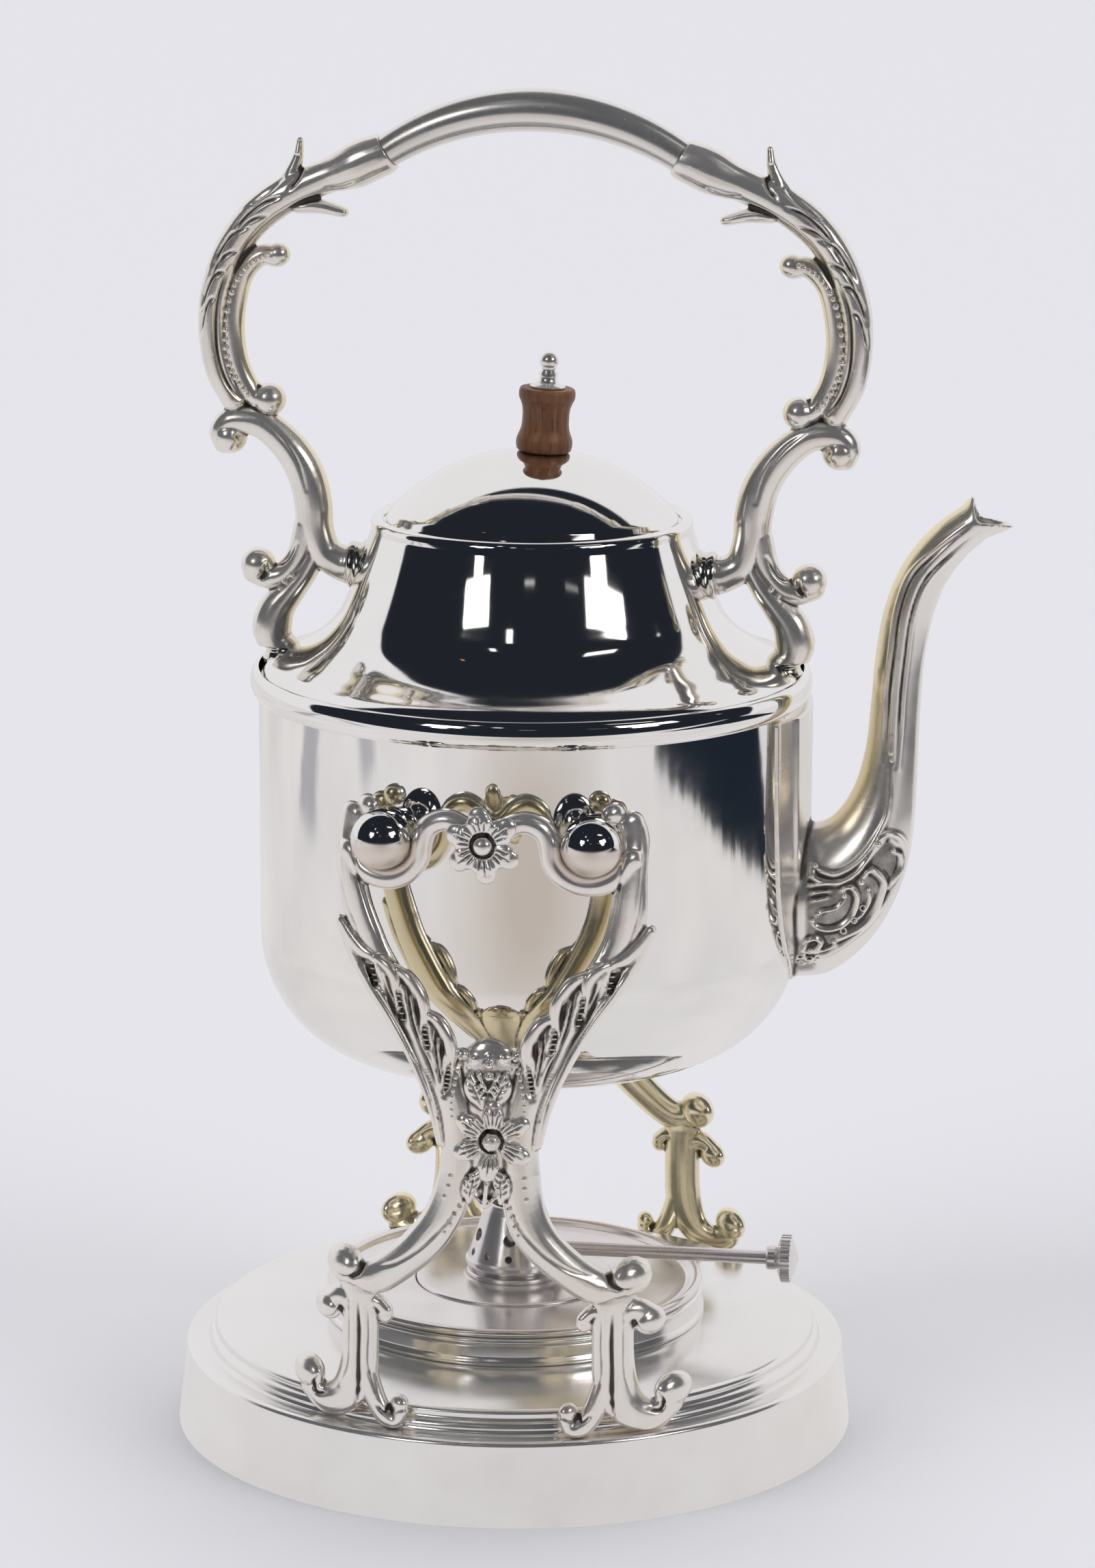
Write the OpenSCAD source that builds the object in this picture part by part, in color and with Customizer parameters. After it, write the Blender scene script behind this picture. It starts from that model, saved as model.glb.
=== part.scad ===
/* [Base] */
// Diameter of the base across the top edge of its wall
base_d = 180; // [172:1:216]
// Height of the base wall
base_h = 22.5; // [18:0.5:30]
// How much further out the foot of the wall stands than its top edge
base_flare = 2.5; // [0.5:0.5:5]
// Width of the ledge between the wall and the moulding
ledge_w = 7; // [6:0.5:9]
// Height of the moulding between the ledge and the plateau
step_h = 6; // [4:0.5:9]
// Rise of the plateau from its edge to the lamp well
crown = 1.5; // [0.5:0.25:3]
// Thickness of the spun metal of the base
base_t = 1.2; // [0.8:0.1:1.8]

/* [Lamp] */
// Outside diameter of the ring that holds the lamp
gallery_d = 104; // [86:1:120]
// Height of that ring above the plateau
gallery_h = 7.5; // [5:0.5:12]
// Thickness of the ring
gallery_t = 2.5; // [2:0.5:4]
// Depth of the spirit font below the plateau
font_depth = 17; // [10:0.5:18]
// Thickness of the lamp's metal
lamp_t = 1; // [0.8:0.1:1.5]
// Diameter of the raised disc round the burner
disc_d = 54; // [44:1:64]
// Diameter of the burner collar at its foot
collar_d = 27; // [24:1:32]
// Diameter of the burner cap at its foot
cap_d = 27; // [25:0.5:30]
// Height of the burner cap
cap_h = 17; // [15:0.5:24]
// Diameter of the round wick
wick_d = 6.4; // [4:0.2:7]
// Diameter of the toothed wick wheel
wheel_d = 6; // [5:0.2:7]
// Teeth on the wick wheel
wheel_teeth = 10; // [8:1:14]
// Diameter of the wick winder's rod
rod_d = 3.8; // [2.6:0.2:4]
// Length of the rod from the burner's middle to its knob
rod_l = 73; // [60:1:90]
// Diameter of the winder's knob
winder_d = 13; // [10:0.5:16]
// Ribs round the edge of the winder's knob
winder_ribs = 28; // [16:2:36]

/* [Kettle] */
// How far the kettle and its supports stand toward the spout from the middle of the base
kettle_off = 4; // [0:0.5:5]
// Height of the kettle's flat bottom above the table
bowl_z = 105.5; // [100:0.5:130]
// Outside diameter of the bowl
bowl_d = 146; // [130:1:160]
// Height of the bowl
bowl_h = 101.5; // [90:0.5:120]
// Radius of the bowl's lower corner
bowl_corner = 30; // [20:1:36]
// Thickness of the kettle's metal
wall = 1.2; // [1:0.1:1.8]
// How far the shoulder moulding stands out from the bowl
rim_out = 2.3; // [1.5:0.1:4]
// Height of the shoulder moulding
rim_h = 7; // [5:0.5:10]
// Outside diameter of the neck at its top
neck_d = 85; // [76:1:92]
// How much wider the neck is at its foot than at its top, on the radius
neck_flare = 5; // [2:0.5:7]
// Height of the shoulder and neck above the bowl
neck_h = 44; // [38:0.5:56]
// Height of the neck's cone above the shoulder's curve
cone_h = 22; // [16:0.5:30]

/* [Lid] */
// Height of the lid's dome
dome_h = 17.6; // [12:0.2:24]
// Gap between the lid and the neck all round
lid_gap = 0.5; // [0.3:0.05:0.8]
// Depth of the lid's bezel inside the neck
bezel_h = 5; // [3:0.5:8]
// Diameter of the hinge barrel
barrel_d = 3.6; // [3:0.2:5]
// Diameter of the hinge pin
pin_d = 1.6; // [1.2:0.1:2]
// Width of the hinge
hinge_w = 22; // [16:1:30]
// Height of the wooden knob
knob_h = 16.8; // [14:0.2:22]
// Diameter of the wooden knob at its ends
knob_d = 15; // [12:0.2:18]
// Diameter of the wooden knob at its waist
knob_waist = 12.4; // [9:0.2:14]
// How far the knob stands off the lid's middle toward the spout, on the dome's curve
knob_off = 3; // [0:0.5:4]

/* [Ball studs] */
// Diameter of the ball on each stud
ball_d = 15.6; // [14:0.2:18]
// Diameter of the stud behind its ball
stud_d = 7.4; // [6:0.2:8]
// Distance of the studs from the kettle's middle, along the spout's line
stud_x = 27; // [24:0.5:30]
// How far the studs lie below the bowl's top edge
stud_drop = 26.3; // [22:0.1:34]
// Gap between a ball and the cradle under it
seat_gap = 0.35; // [0.25:0.05:0.5]

/* [Supports] */
// Gap between the bowl and the middle of a support at its cradles
support_gap = 10; // [9:0.5:14]
// How much further out the supports stand at the ledge than at their cradles
support_lean = 3; // [0:0.5:4]
// Thickness of a support at its cradles
support_t = 6; // [5:0.5:7]
// Half the width of a support's waist
waist_x = 12.8; // [11:0.2:15]
// Distance of the knees from the support's middle
knee_x = 37.5; // [33:0.5:40]
// Height of the feet under the knees
foot_h = 36; // [30:0.5:40]

/* [Handle] */
// Height of the grip's middle above the neck's top edge
grip_z = 107.5; // [100:0.5:125]
// Radius of the grip's curve
grip_r = 71; // [66:1:84]
// Diameter of the grip at its middle
grip_d = 11.4; // [9:0.2:13]
// Diameter of the grip at its ends
grip_end_d = 8.8; // [7:0.2:10]
// Half the angle that the grip's curve takes up
grip_angle = 33; // [28:1:36]
// Furthest reach of the handle from the kettle's middle
handle_x = 90; // [84:1:100]

/* [Spout] */
// Reach of the spout's lip from the kettle's middle
spout_reach = 127.5; // [118:0.5:140]
// Width of the spout where it meets the bowl
spout_w = 29; // [24:0.5:33]
// Thickness of the spout's metal
spout_t = 1.5; // [1.2:0.1:2]
// Diameter of the port through the bowl into the spout
port_d = 17; // [12:0.5:18]

/* [Hidden] */
$fn = 96;
eps = 0.01;

base_r = base_d / 2;
ledge_z = base_h;
plateau_r = base_r - ledge_w;
plateau_z = base_h + step_h;
gallery_r = gallery_d / 2;
well_r = gallery_r - gallery_t;
well_z = plateau_z + crown;
lamp_z = well_z + gallery_h;
font_r = well_r - 0.5;
collar_r = collar_d / 2;
disc_r = disc_d / 2;
deck_z = lamp_z + 1.6;
collar_top = deck_z + 3.6;
cap_z = collar_top;
cap_top = cap_z + cap_h;
rod_z = cap_z + 5.6;
wheel_r = wheel_d / 2;
tube_r = 7.6;
wick_y = wick_d / 2 - 0.4;
rod_y = wick_y - wick_d / 2 - wheel_r - 0.15;
wick_top = cap_z + cap_h - 3;
knob_x = rod_l;

bowl_r = bowl_d / 2;
bowl_top = bowl_z + bowl_h;
neck_r = neck_d / 2;
neck_foot_r = neck_r + neck_flare;
neck_top = bowl_top + neck_h;
shoulder_z = neck_top - cone_h;
roll_r = 1.5;
mouth_r = neck_r - 2 * roll_r;
seat_z = neck_top - 1.6;
seat_r = mouth_r - 3.2;
lid_r = mouth_r - lid_gap;
dome_r = (lid_r * lid_r + dome_h * dome_h) / (2 * dome_h);
dome_top = neck_top + dome_h;
barrel_r = barrel_d / 2;
hinge_y = neck_r + barrel_r + 0.3;
hinge_z = neck_top + barrel_r + 0.2;
knob_top = dome_top + knob_h;
knob_lean = asin(knob_off / dome_r);

ball_r = ball_d / 2;
stud_r = stud_d / 2;
stud_z = bowl_top - stud_drop;
support_r = bowl_r + support_gap;
foot_r = support_r + support_lean;
lean_angle = atan(support_lean / (bowl_top - stud_drop - base_h));
ball_y = sqrt(pow(support_r + support_t / 2, 2) - stud_x * stud_x);
socket_r = stud_r + 0.9;
socket_y = bowl_r + 1.4;
knee_z = ledge_z + foot_h;

grip_top = neck_top + grip_z;
grip_c = grip_top - grip_r;
socket_end_x = grip_r * sin(grip_angle);
socket_end_z = grip_c + grip_r * cos(grip_angle);
boss_x = neck_r + 7;
boss_z = neck_top - 15;
boss_r = 6.4;
port_z = bowl_z + 48;
pad_z = bowl_top + 6.5;
pad_x = bowl_r - 5.5;
pad_r = 5;

// Curves and swept pieces

// Point at share t of the way from b to c on a smooth curve that also knows a and d
function curve_point(a, b, c, d, t) =
    0.5 * (2 * b + (c - a) * t + (2 * a - 5 * b + 4 * c - d) * t * t
        + (3 * b - a - 3 * c + d) * t * t * t);

// A smooth curve through a list of stations, with n steps between each pair
function smooth(p, n) = [
    for (i = [0 : len(p) - 2])
        for (k = [0 : n - 1])
            curve_point(p[max(i - 1, 0)], p[i], p[i + 1], p[min(i + 2, len(p) - 1)], k / n),
    p[len(p) - 1]
];

function unit(v) = v / norm(v);

// Direction of travel at station i, in the plane of the casting
function heading(p, i) =
    unit([p[min(i + 1, len(p) - 1)][0] - p[max(i - 1, 0)][0],
          p[min(i + 1, len(p) - 1)][1] - p[max(i - 1, 0)][1]]);

// How far inward a casting bent to the base's curve lies at distance x from its middle and height z
function bend(x, z) =
    let (r = foot_r + (support_r - foot_r) * (z - ledge_z) / (stud_z - ledge_z))
        foot_r - sqrt(r * r - x * x);

// One ring of a stroke: a station holds x, z, its half width, its half thickness and its set back
function ring(s, h, sides, along, shrink, bent) = [
    for (k = [0 : sides - 1])
        let (
            a = 360 * (k + 0.5) / sides,
            w = s[2] * shrink * cos(a),
            x = s[0] + h[0] * along - h[1] * w,
            z = s[1] + h[1] * along + h[0] * w
        ) [x, s[3] * shrink * sin(a) + (len(s) > 4 ? s[4] : 0) + (bent ? bend(x, z) : 0), z]
];

function quads(rings, sides) = [
    for (r = [0 : rings - 2])
        for (k = [0 : sides - 1])
            let (a = r * sides + k, b = r * sides + (k + 1) % sides)
                each [[a, b, b + sides], [a, b + sides, a + sides]]
];

// A rounded bar that follows stations in the XZ plane, with domed ends; a bent one follows the base's curve
module stroke(stations, steps = 1, sides = 8, bent = false) {
    p = smooth(stations, steps);
    last = len(p) - 1;
    h0 = heading(p, 0);
    h1 = heading(p, last);
    rings = concat(
        [ring(p[0], h0, sides, -0.75 * p[0][2], 0.6, bent)],
        [for (i = [0 : last]) ring(p[i], heading(p, i), sides, 0, 1, bent)],
        [ring(p[last], h1, sides, 0.75 * p[last][2], 0.6, bent)]
    );
    count = len(rings);
    points = [for (r = rings) each r];
    caps = [
        [for (k = [0 : sides - 1]) sides - 1 - k],
        [for (k = [0 : sides - 1]) (count - 1) * sides + k]
    ];
    polyhedron(points = points, faces = concat(quads(count, sides), caps));
}

// Joins the strokes of one casting into a single skin
module cast() {
    minkowski() {
        union() {
            children();
        }
    }
}

module both_sides() {
    children();
    mirror([1, 0, 0]) children();
}

module on_axis() {
    translate([kettle_off, 0, 0]) children();
}

// Base

// Outline of the spun base, from its foot up the wall, over the ledge and moulding to the well
function base_skin(g) = [
    [base_r + base_flare - g, 0],
    [base_r + base_flare * 0.35 - g, base_h * 0.55],
    [base_r - g, base_h - 1.6],
    [base_r - 0.4 - g, base_h - 0.5 - g * 0.3],
    [base_r - 1.4 - g * 0.6, base_h - g],
    [plateau_r + 1.2 - g * 0.4, base_h - g],
    [plateau_r + 0.7 - g * 0.7, base_h + 0.6 - g * 0.6],
    [plateau_r + 0.6 - g, plateau_z - 1.4 - g * 0.5],
    [plateau_r - 0.2 - g, plateau_z - 0.3 - g * 0.8],
    [plateau_r - 1.2 - g, plateau_z - g],
    [(plateau_r + gallery_r) / 2, plateau_z + crown * 0.7 - g],
    [well_r, well_z - g]
];

module base() {
    outer = base_skin(0);
    inner = base_skin(base_t);
    color("gainsboro") rotate_extrude()
        polygon(concat(outer, [for (i = [len(inner) - 1 : -1 : 0]) inner[i]]));
}

// Lamp

module lamp_ring() {
    color("silver") rotate_extrude()
        polygon([
            [well_r + 0.1, well_z],
            [gallery_r, well_z],
            [gallery_r, lamp_z - 0.8],
            [gallery_r - 0.5, lamp_z],
            [well_r + 0.1, lamp_z]
        ]);
}

// The font hangs from a rolled edge that rests on the ring
module spirit_font() {
    floor_z = well_z - font_depth;
    edge = gallery_r - 1.2;
    color("lightgray") rotate_extrude() {
        polygon([
            [0, floor_z],
            [font_r - 3, floor_z],
            [font_r - 0.8, floor_z + 0.8],
            [font_r, floor_z + 3],
            [font_r, lamp_z],
            [edge, lamp_z],
            [edge + 0.7, lamp_z + 0.7],
            [edge + 0.7, lamp_z + 1.5],
            [edge, lamp_z + 2.2],
            [edge - 1.4, lamp_z + 2.4],
            [font_r - 2, lamp_z + 0.6],
            [disc_r + 0.2, lamp_z + 0.9],
            [disc_r + 0.2, lamp_z + 0.9 - lamp_t],
            [font_r - lamp_t, lamp_z + 0.6 - lamp_t],
            [font_r - lamp_t, floor_z + 3],
            [font_r - 3, floor_z + lamp_t],
            [0, floor_z + lamp_t]
        ]);
    }
}

// Raised disc that closes the font and carries the burner
module font_disc() {
    color("silver") rotate_extrude()
        polygon([
            [tube_r + 0.05, lamp_z - 1],
            [disc_r, lamp_z - 1],
            [disc_r, deck_z - 0.5],
            [disc_r - 0.7, deck_z],
            [collar_r + 4, deck_z + 0.2],
            [collar_r, deck_z + 0.6],
            [tube_r + 0.05, deck_z + 0.6]
        ]);
}

// Turned collar with three beads, open for the wick tube
module burner_collar() {
    foot = deck_z + 0.6;
    color("silver") rotate_extrude()
        difference() {
            union() {
                translate([tube_r + 0.1, foot]) square([collar_r - tube_r - 0.9, 1]);
                translate([collar_r - 1, foot + 0.7]) circle(d = 1.4, $fn = 24);
                translate([tube_r + 0.1, foot + 1]) square([2.6, collar_top - foot - 1]);
                translate([tube_r + 2.4, foot + 1.7]) circle(d = 1.4, $fn = 24);
            }
            square([tube_r + 0.1, collar_top]);
        }
}

// Perforated cap; a slot lets it lift off over the winder's rod
module burner_cap() {
    foot_r = cap_d / 2;
    top_r = foot_r * 0.64;
    color("silver") difference() {
        rotate_extrude()
            polygon([
                [foot_r - 2.4, cap_z],
                [foot_r - 0.4, cap_z],
                [foot_r, cap_z + 0.6],
                [foot_r, cap_z + 1.6],
                [foot_r - 0.6, cap_z + 2.2],
                [top_r, cap_top - 2],
                [top_r - 1.2, cap_top],
                [wick_y + wick_d / 2 + 0.3, cap_top],
                [wick_y + wick_d / 2 + 0.3, cap_top - 1],
                [top_r - 1.4, cap_top - 2.4],
                [foot_r - 1.8, cap_z + 2.2]
            ]);
        for (a = [30 : 60 : 270])
            rotate([0, 0, a]) translate([top_r * 0.7, 0, cap_z + cap_h * 0.52])
                rotate([0, 90, 0]) cylinder(d = 3.4, h = foot_r, $fn = 24);
        for (a = [60 : 30 : 270])
            rotate([0, 0, a]) translate([top_r * 0.9, 0, cap_z + cap_h * 0.24])
                rotate([0, 90, 0]) cylinder(d = 2, h = foot_r, $fn = 24);
        translate([top_r * 0.6, rod_y - rod_d / 2 - 0.6, cap_z - 1])
            cube([foot_r + 2, rod_d + 1.2, rod_z - cap_z + 1 + rod_d / 2 + 0.6]);
    }
}

module wick_tube() {
    foot = well_z - font_depth + 6;
    top = wick_top - 3;
    color("darkgray") difference() {
        translate([0, 0, foot]) cylinder(r = tube_r, h = top - foot);
        translate([0, 0, foot - 1]) cylinder(r = tube_r - 0.6, h = top - foot + 2);
        translate([0, rod_y, rod_z]) rotate([0, 90, 0]) cylinder(r = rod_d / 2 + 0.05, h = tube_r + 2);
    }
}

module wick() {
    foot = well_z - font_depth + lamp_t + 1.2;
    color("beige") translate([0, wick_y, foot]) cylinder(d = wick_d, h = wick_top - foot, $fn = 40);
}

// Toothed wheel that bites on the wick
module wick_wheel() {
    pitch = 360 / wheel_teeth;
    color("goldenrod") translate([-1.2, rod_y, rod_z]) rotate([0, 90, 0]) linear_extrude(2.4)
        polygon([
            for (i = [0 : wheel_teeth - 1])
                each [
                    wheel_r * 0.76 * [cos(i * pitch), sin(i * pitch)],
                    wheel_r * [cos(i * pitch + pitch * 0.35), sin(i * pitch + pitch * 0.35)],
                    wheel_r * [cos(i * pitch + pitch * 0.55), sin(i * pitch + pitch * 0.55)]
                ]
        ]);
}

module winder_rod() {
    color("silver") translate([1.2, rod_y, rod_z]) rotate([0, 90, 0])
        cylinder(d = rod_d, h = knob_x - 1.2);
}

module winder_ferrule() {
    color("silver") translate([knob_x - 3.2, rod_y, rod_z]) rotate([0, 90, 0]) rotate_extrude()
        polygon([
            [rod_d / 2, 0],
            [rod_d / 2 + 0.9, 0],
            [rod_d / 2 + 1.4, 0.5],
            [rod_d / 2 + 1.4, 2.4],
            [rod_d / 2 + 0.8, 3.2],
            [rod_d / 2, 3.2]
        ]);
}

// Knurled disc with a pointed face
module winder_knob() {
    r = winder_d / 2;
    color("silver") translate([knob_x, rod_y, rod_z]) rotate([0, 90, 0]) {
        difference() {
            rotate_extrude()
                polygon([
                    [0, 0],
                    [r * 0.62, 0],
                    [r, 1],
                    [r, 3.4],
                    [r * 0.55, 4.6],
                    [0, 5.6]
                ]);
            for (i = [0 : winder_ribs - 1])
                rotate([0, 0, i * 360 / winder_ribs]) translate([r, 0, -1])
                    cylinder(d = PI * winder_d / winder_ribs * 0.55, h = 8, $fn = 16);
        }
    }
}

// Supports
// A support is cast flat, drawn here by x from its middle and height above the ledge, and then bent to the
// base's curve. The drawing is for these sizes and is stretched to the real ones.
draw_stud_h = 158.2;
draw_stud = 27;
draw_knee = 37.5;
draw_waist = 12.8;
draw_foot = 36;

// Half widths follow the knees, the waist and the studs, each over its own stretch of height
function drawn_x(x, z) =
    let (
        low = knee_x / draw_knee,
        mid = waist_x / draw_waist,
        high = stud_x / draw_stud,
        up = max(0, min(1, (z - 100) / 30)),
        down = max(0, min(1, (70 - z) / 25))
    ) x * (mid + (high - mid) * up + (low - mid) * down);

// Heights below the knees follow the feet, and those above follow the studs
function drawn_z(z) = ledge_z +
    (z < draw_foot ? z * foot_h / draw_foot :
        foot_h + (z - draw_foot) * (stud_z - knee_z) / (draw_stud_h - draw_foot));

function drawn(s) = [drawn_x(s[0], s[1]), drawn_z(s[1]), s[2], s[3], s[4]];
function drawn_all(p) = [for (s = p) len(s) > 4 ? drawn(s) : drawn(concat(s, [0]))];

// Leg, waist and arm of one side, from the knee to the arm's rounded top, which is set back behind the ball
ARM = [
    [37.5, 42, 3.8, 3.6, 0], [30, 40.4, 4.6, 4, 0], [21.2, 46.5, 4.8, 4.2, 0],
    [13.6, 54.7, 5.2, 4, 0], [9.4, 63.5, 5.3, 3.8, 0], [7.9, 74, 5, 3.8, 0],
    [7.9, 83.5, 5, 3.8, 0], [9.7, 92, 5.2, 3.6, 0], [13.4, 100.4, 5.5, 3.5, 0],
    [19.7, 110.6, 5.4, 3.4, 0], [24.5, 117.6, 5.5, 3.4, 0], [30.8, 127.6, 5.5, 3.3, 0],
    [34.6, 137.5, 4.8, 3.2, 0], [35.8, 145.5, 4.2, 3, 0.4], [36.6, 152.5, 3.8, 3, 1.2],
    [36.9, 158, 3.5, 2.9, 2.6], [35.9, 162.2, 3.3, 2.8, 3.1]
];

// Acanthus leaves laid over the outside of an arm, each from its root to its curled tip
LEAVES = [
    [[29.6, 110, 1.6, 1.4], [34.2, 120, 3.4, 2], [37.4, 128, 2.8, 2], [39, 133, 1.2, 1.4]],
    [[21.6, 104, 1.4, 1.4], [26.4, 115, 3.2, 2], [28.4, 123, 3, 2], [26.8, 129.4, 1.4, 1.6]],
    [[16.4, 96, 1.4, 1.4], [20.4, 107, 3.2, 2], [21.8, 115, 3, 2], [20, 121.4, 1.4, 1.6]],
    [[12.6, 86, 1.4, 1.4], [14.8, 98, 3.2, 2], [15.4, 106.6, 3, 2], [13, 112.6, 1.4, 1.6]]
];

// The plate between the two waists, from the crotch to the heart's bottom
TABLET = [[0, 66, 2.5, 2.2], [0, 71, 5, 2.8], [0, 82, 7, 3], [0, 94, 7.5, 3], [0, 101, 7, 2.8]];

// The bar between the arms: a cradle under each ball, a crest and a dip behind the rosette
bar_w = 2.9;
function cradle_bar() =
    let (r = ball_r + seat_gap + bar_w - 0.5, u = stud_x / draw_stud, t = support_t / 2) concat(
        [for (a = [-25 : -26 : -155]) [stud_x + r * cos(a), stud_z + r * sin(a), bar_w, t]],
        [
            [stud_x - r, stud_z + 0.4, bar_w, t],
            [14.4 * u, stud_z + 4.2, bar_w, t],
            [10.2 * u, stud_z + 6.1, bar_w, t],
            [6 * u, stud_z + 4.6, bar_w, t],
            [2.6 * u, stud_z + 1.6, bar_w, t],
            [-1, stud_z + 0.4, bar_w, t]
        ]
    );

// A ball on a bent casting, at x and height z
module bent_ball(x, z, r, fine = 12) {
    translate([x, bend(x, z), z]) sphere(r = r, $fn = fine);
}

module support_shape() {
    knee = drawn([37.6, 43, 0, 0, 0]);
    both_sides() {
        stroke(drawn_all(ARM), bent = true);
        stroke(cradle_bar(), bent = true);
        for (leaf = LEAVES) translate([0, -2.2, 0]) stroke(drawn_all(leaf), 1, 6, true);
        bent_ball(knee[0], knee[1], 5.2, 12);
    }
    stroke(drawn_all(TABLET), bent = true);
    // Pad for the rosette
    translate([0, bend(0, stud_z), stud_z]) rotate([90 - lean_angle, 0, 0])
        translate([0, 0, -support_t / 2]) cylinder(r = 5.4, h = support_t, $fn = 20);
}

// The knees are cut flat where the feet meet them, and the cradles are open above the balls
module support() {
    color("silver") on_axis() cast() difference() {
        translate([0, -foot_r, 0]) support_shape();
        translate([-80, -120, knee_z - 40]) cube([160, 80, 40]);
        for (side = [-1, 1]) translate([side * stud_x, -ball_y, stud_z]) {
            sphere(r = ball_r + seat_gap, $fn = 20);
            cylinder(r = ball_r + seat_gap, h = 40, $fn = 20);
        }
    }
}

module turned() {
    on_axis() rotate([0, 0, 180]) translate([-kettle_off, 0, 0]) children();
}

module front_support() {
    support();
}

module back_support() {
    turned() support();
}

// A foot forks into an upturned outer scroll and a small inner toe, with two curls under the knee
STEM = [
    [33.4, 36.8, 4.8, 3.4], [33.3, 30, 4.4, 3.2], [33.3, 22.5, 4.2, 3.2], [33.8, 15, 4.1, 3],
    [36, 8, 3.6, 3], [39.8, 3, 3.4, 3], [44, 2.9, 3.2, 3], [47.4, 6.6, 3, 3]
];
TOE = [[32.4, 17, 3.2, 3], [29.6, 9, 3, 3], [26.4, 2.4, 3, 3], [23.2, 2, 2.4, 2.6], [21.6, 5.2, 2, 2.4]];
CURLS = [[34.4, 32, 2.8, 3], [38.6, 33.2, 2.8, 3], [42, 31.4, 2.6, 2.8]];
INNER_CURL = [[32.4, 32, 2.4, 2.8], [28.8, 33.6, 2.2, 2.6], [26.2, 32, 2, 2.4]];

module foot_ball(x, z, r, fine) {
    p = drawn([x, z, 0, 0, 0]);
    bent_ball(p[0], p[1], r, fine);
}

module feet() {
    color("silver") cast() difference() {
        on_axis() translate([0, -foot_r, 0]) both_sides() {
            stroke(drawn_all(STEM), 1, 6, true);
            stroke(drawn_all(TOE), 1, 6, true);
            stroke(drawn_all(CURLS), 1, 6, true);
            stroke(drawn_all(INNER_CURL), 1, 6, true);
            foot_ball(48.2, 11, 4.7, 10);
            foot_ball(42, 30.6, 4, 8);
            foot_ball(22.2, 7.2, 2.6, 8);
        }
        translate([-100, -130, knee_z]) cube([200, 130, 40]);
        rotate_extrude($fn = 90) polygon(concat([[0, 0]], base_skin(-0.06), [[0, well_z]]));
    }
}

module front_feet() {
    feet();
}

module back_feet() {
    rotate([0, 0, 180]) mirror([1, 0, 0]) feet();
}

// One petal lies along X from the flower's middle, domed on its face and flat behind
module petal(length, half_width, thick) {
    s = [
        [length * 0.3, 0, half_width * 0.6, thick * 0.8],
        [length * 0.62, 0, half_width, thick],
        [length * 0.92, 0, half_width * 0.6, thick * 0.7]
    ];
    stroke(s, 1, 6);
}

module flower(petals, size, half_width, thick, bud, turn) {
    cast() intersection() {
        union() {
            for (i = [0 : petals - 1])
                rotate([0, turn + i * 360 / petals, 0]) petal(size, half_width, thick);
            sphere(r = bud, $fn = 10);
        }
        translate([-30, -30, -30]) cube([60, 30, 60]);
    }
}

// Ornament on the face of a support, turned to lean with it
module on_support(z, off = 0.02) {
    on_axis() translate([0, bend(0, z) - foot_r - support_t / 2 / cos(lean_angle), z])
        rotate([-lean_angle, 0, 0]) translate([0, -off, 0]) children();
}

module rosette() {
    color("silver") on_support(stud_z + 0.4) flower(5, 8.8, 3.1, 2, 3.2, 54);
}

module tablet_flower() {
    color("silver") on_support(drawn_z(80), 0.3) flower(6, 9.6, 2.9, 1.8, 3.3, 30);
}

module front_rosette() {
    rosette();
}

module back_rosette() {
    turned() rosette();
}

module front_flower() {
    tablet_flower();
}

module back_flower() {
    turned() tablet_flower();
}

// Kettle

// Half section of the bowl's outside or, drawn in by g, of its inside
function bowl_skin(g) = concat(
    [[0, bowl_z + g]],
    [for (a = [0 : 7.5 : 90])
        [bowl_r - bowl_corner + (bowl_corner - g) * sin(a),
         bowl_z + bowl_corner * 1.13 - (bowl_corner * 1.13 - g) * cos(a)]],
    [[bowl_r - g, bowl_top]]
);

module kettle_bowl() {
    color("silver") on_axis() difference() {
        rotate_extrude() {
            outer = bowl_skin(0);
            inner = bowl_skin(wall);
            polygon(concat(outer, [for (i = [len(inner) - 1 : -1 : 0]) inner[i]]));
        }
        translate([bowl_r - 10, 0, port_z]) rotate([0, 90, 0]) cylinder(d = port_d, h = 20);
    }
}

// Outline of the shoulder and neck: a flat for the moulding, a hollow sweep, then a cone
function neck_skin(g) = concat(
    [[bowl_r - g * 0.2, bowl_top], [bowl_r - 0.6 - g * 0.4, bowl_top + 2.6 - g]],
    [for (a = [8 : 10 : 78])
        [neck_foot_r + shoulder_w * (1 - sin(a)) - g * sin(a),
         shoulder_z - shoulder_d * (1 - (1 - cos(a)) * 1.0) - g * cos(a)]],
    [[neck_foot_r - g, shoulder_z + 1]]
);
shoulder_w = bowl_r - 2 - neck_foot_r;
shoulder_d = shoulder_z - bowl_top - 3.4;

module kettle_neck() {
    outer = neck_skin(0);
    inner = neck_skin(wall);
    color("silver") on_axis() rotate_extrude()
        polygon(concat(
            outer,
            [
                [neck_r, neck_top - 2.6],
                [neck_r - 0.1, neck_top - 0.9],
                [neck_r - 0.7, neck_top - 0.2],
                [neck_r - 1.5, neck_top],
                [neck_r - 2.3, neck_top - 0.2],
                [mouth_r, neck_top - 0.9],
                [mouth_r, seat_z],
                [seat_r, seat_z],
                [seat_r, seat_z - 1],
                [neck_r - wall - 0.4, seat_z - 4]
            ],
            [for (i = [len(inner) - 1 : -1 : 0]) inner[i]]
        ));
}

// Half round moulding that covers the joint of bowl and shoulder
module shoulder_rim() {
    color("silver") on_axis() rotate_extrude()
        polygon(concat(
            [[bowl_r + 0.02, bowl_top - rim_h / 2], [bowl_r + 0.02, bowl_top + rim_h / 2]],
            [for (a = [75 : -15 : -75])
                [bowl_r + 0.3 + rim_out * cos(a), bowl_top + rim_h / 2 * sin(a)]]
        ));
}

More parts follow.
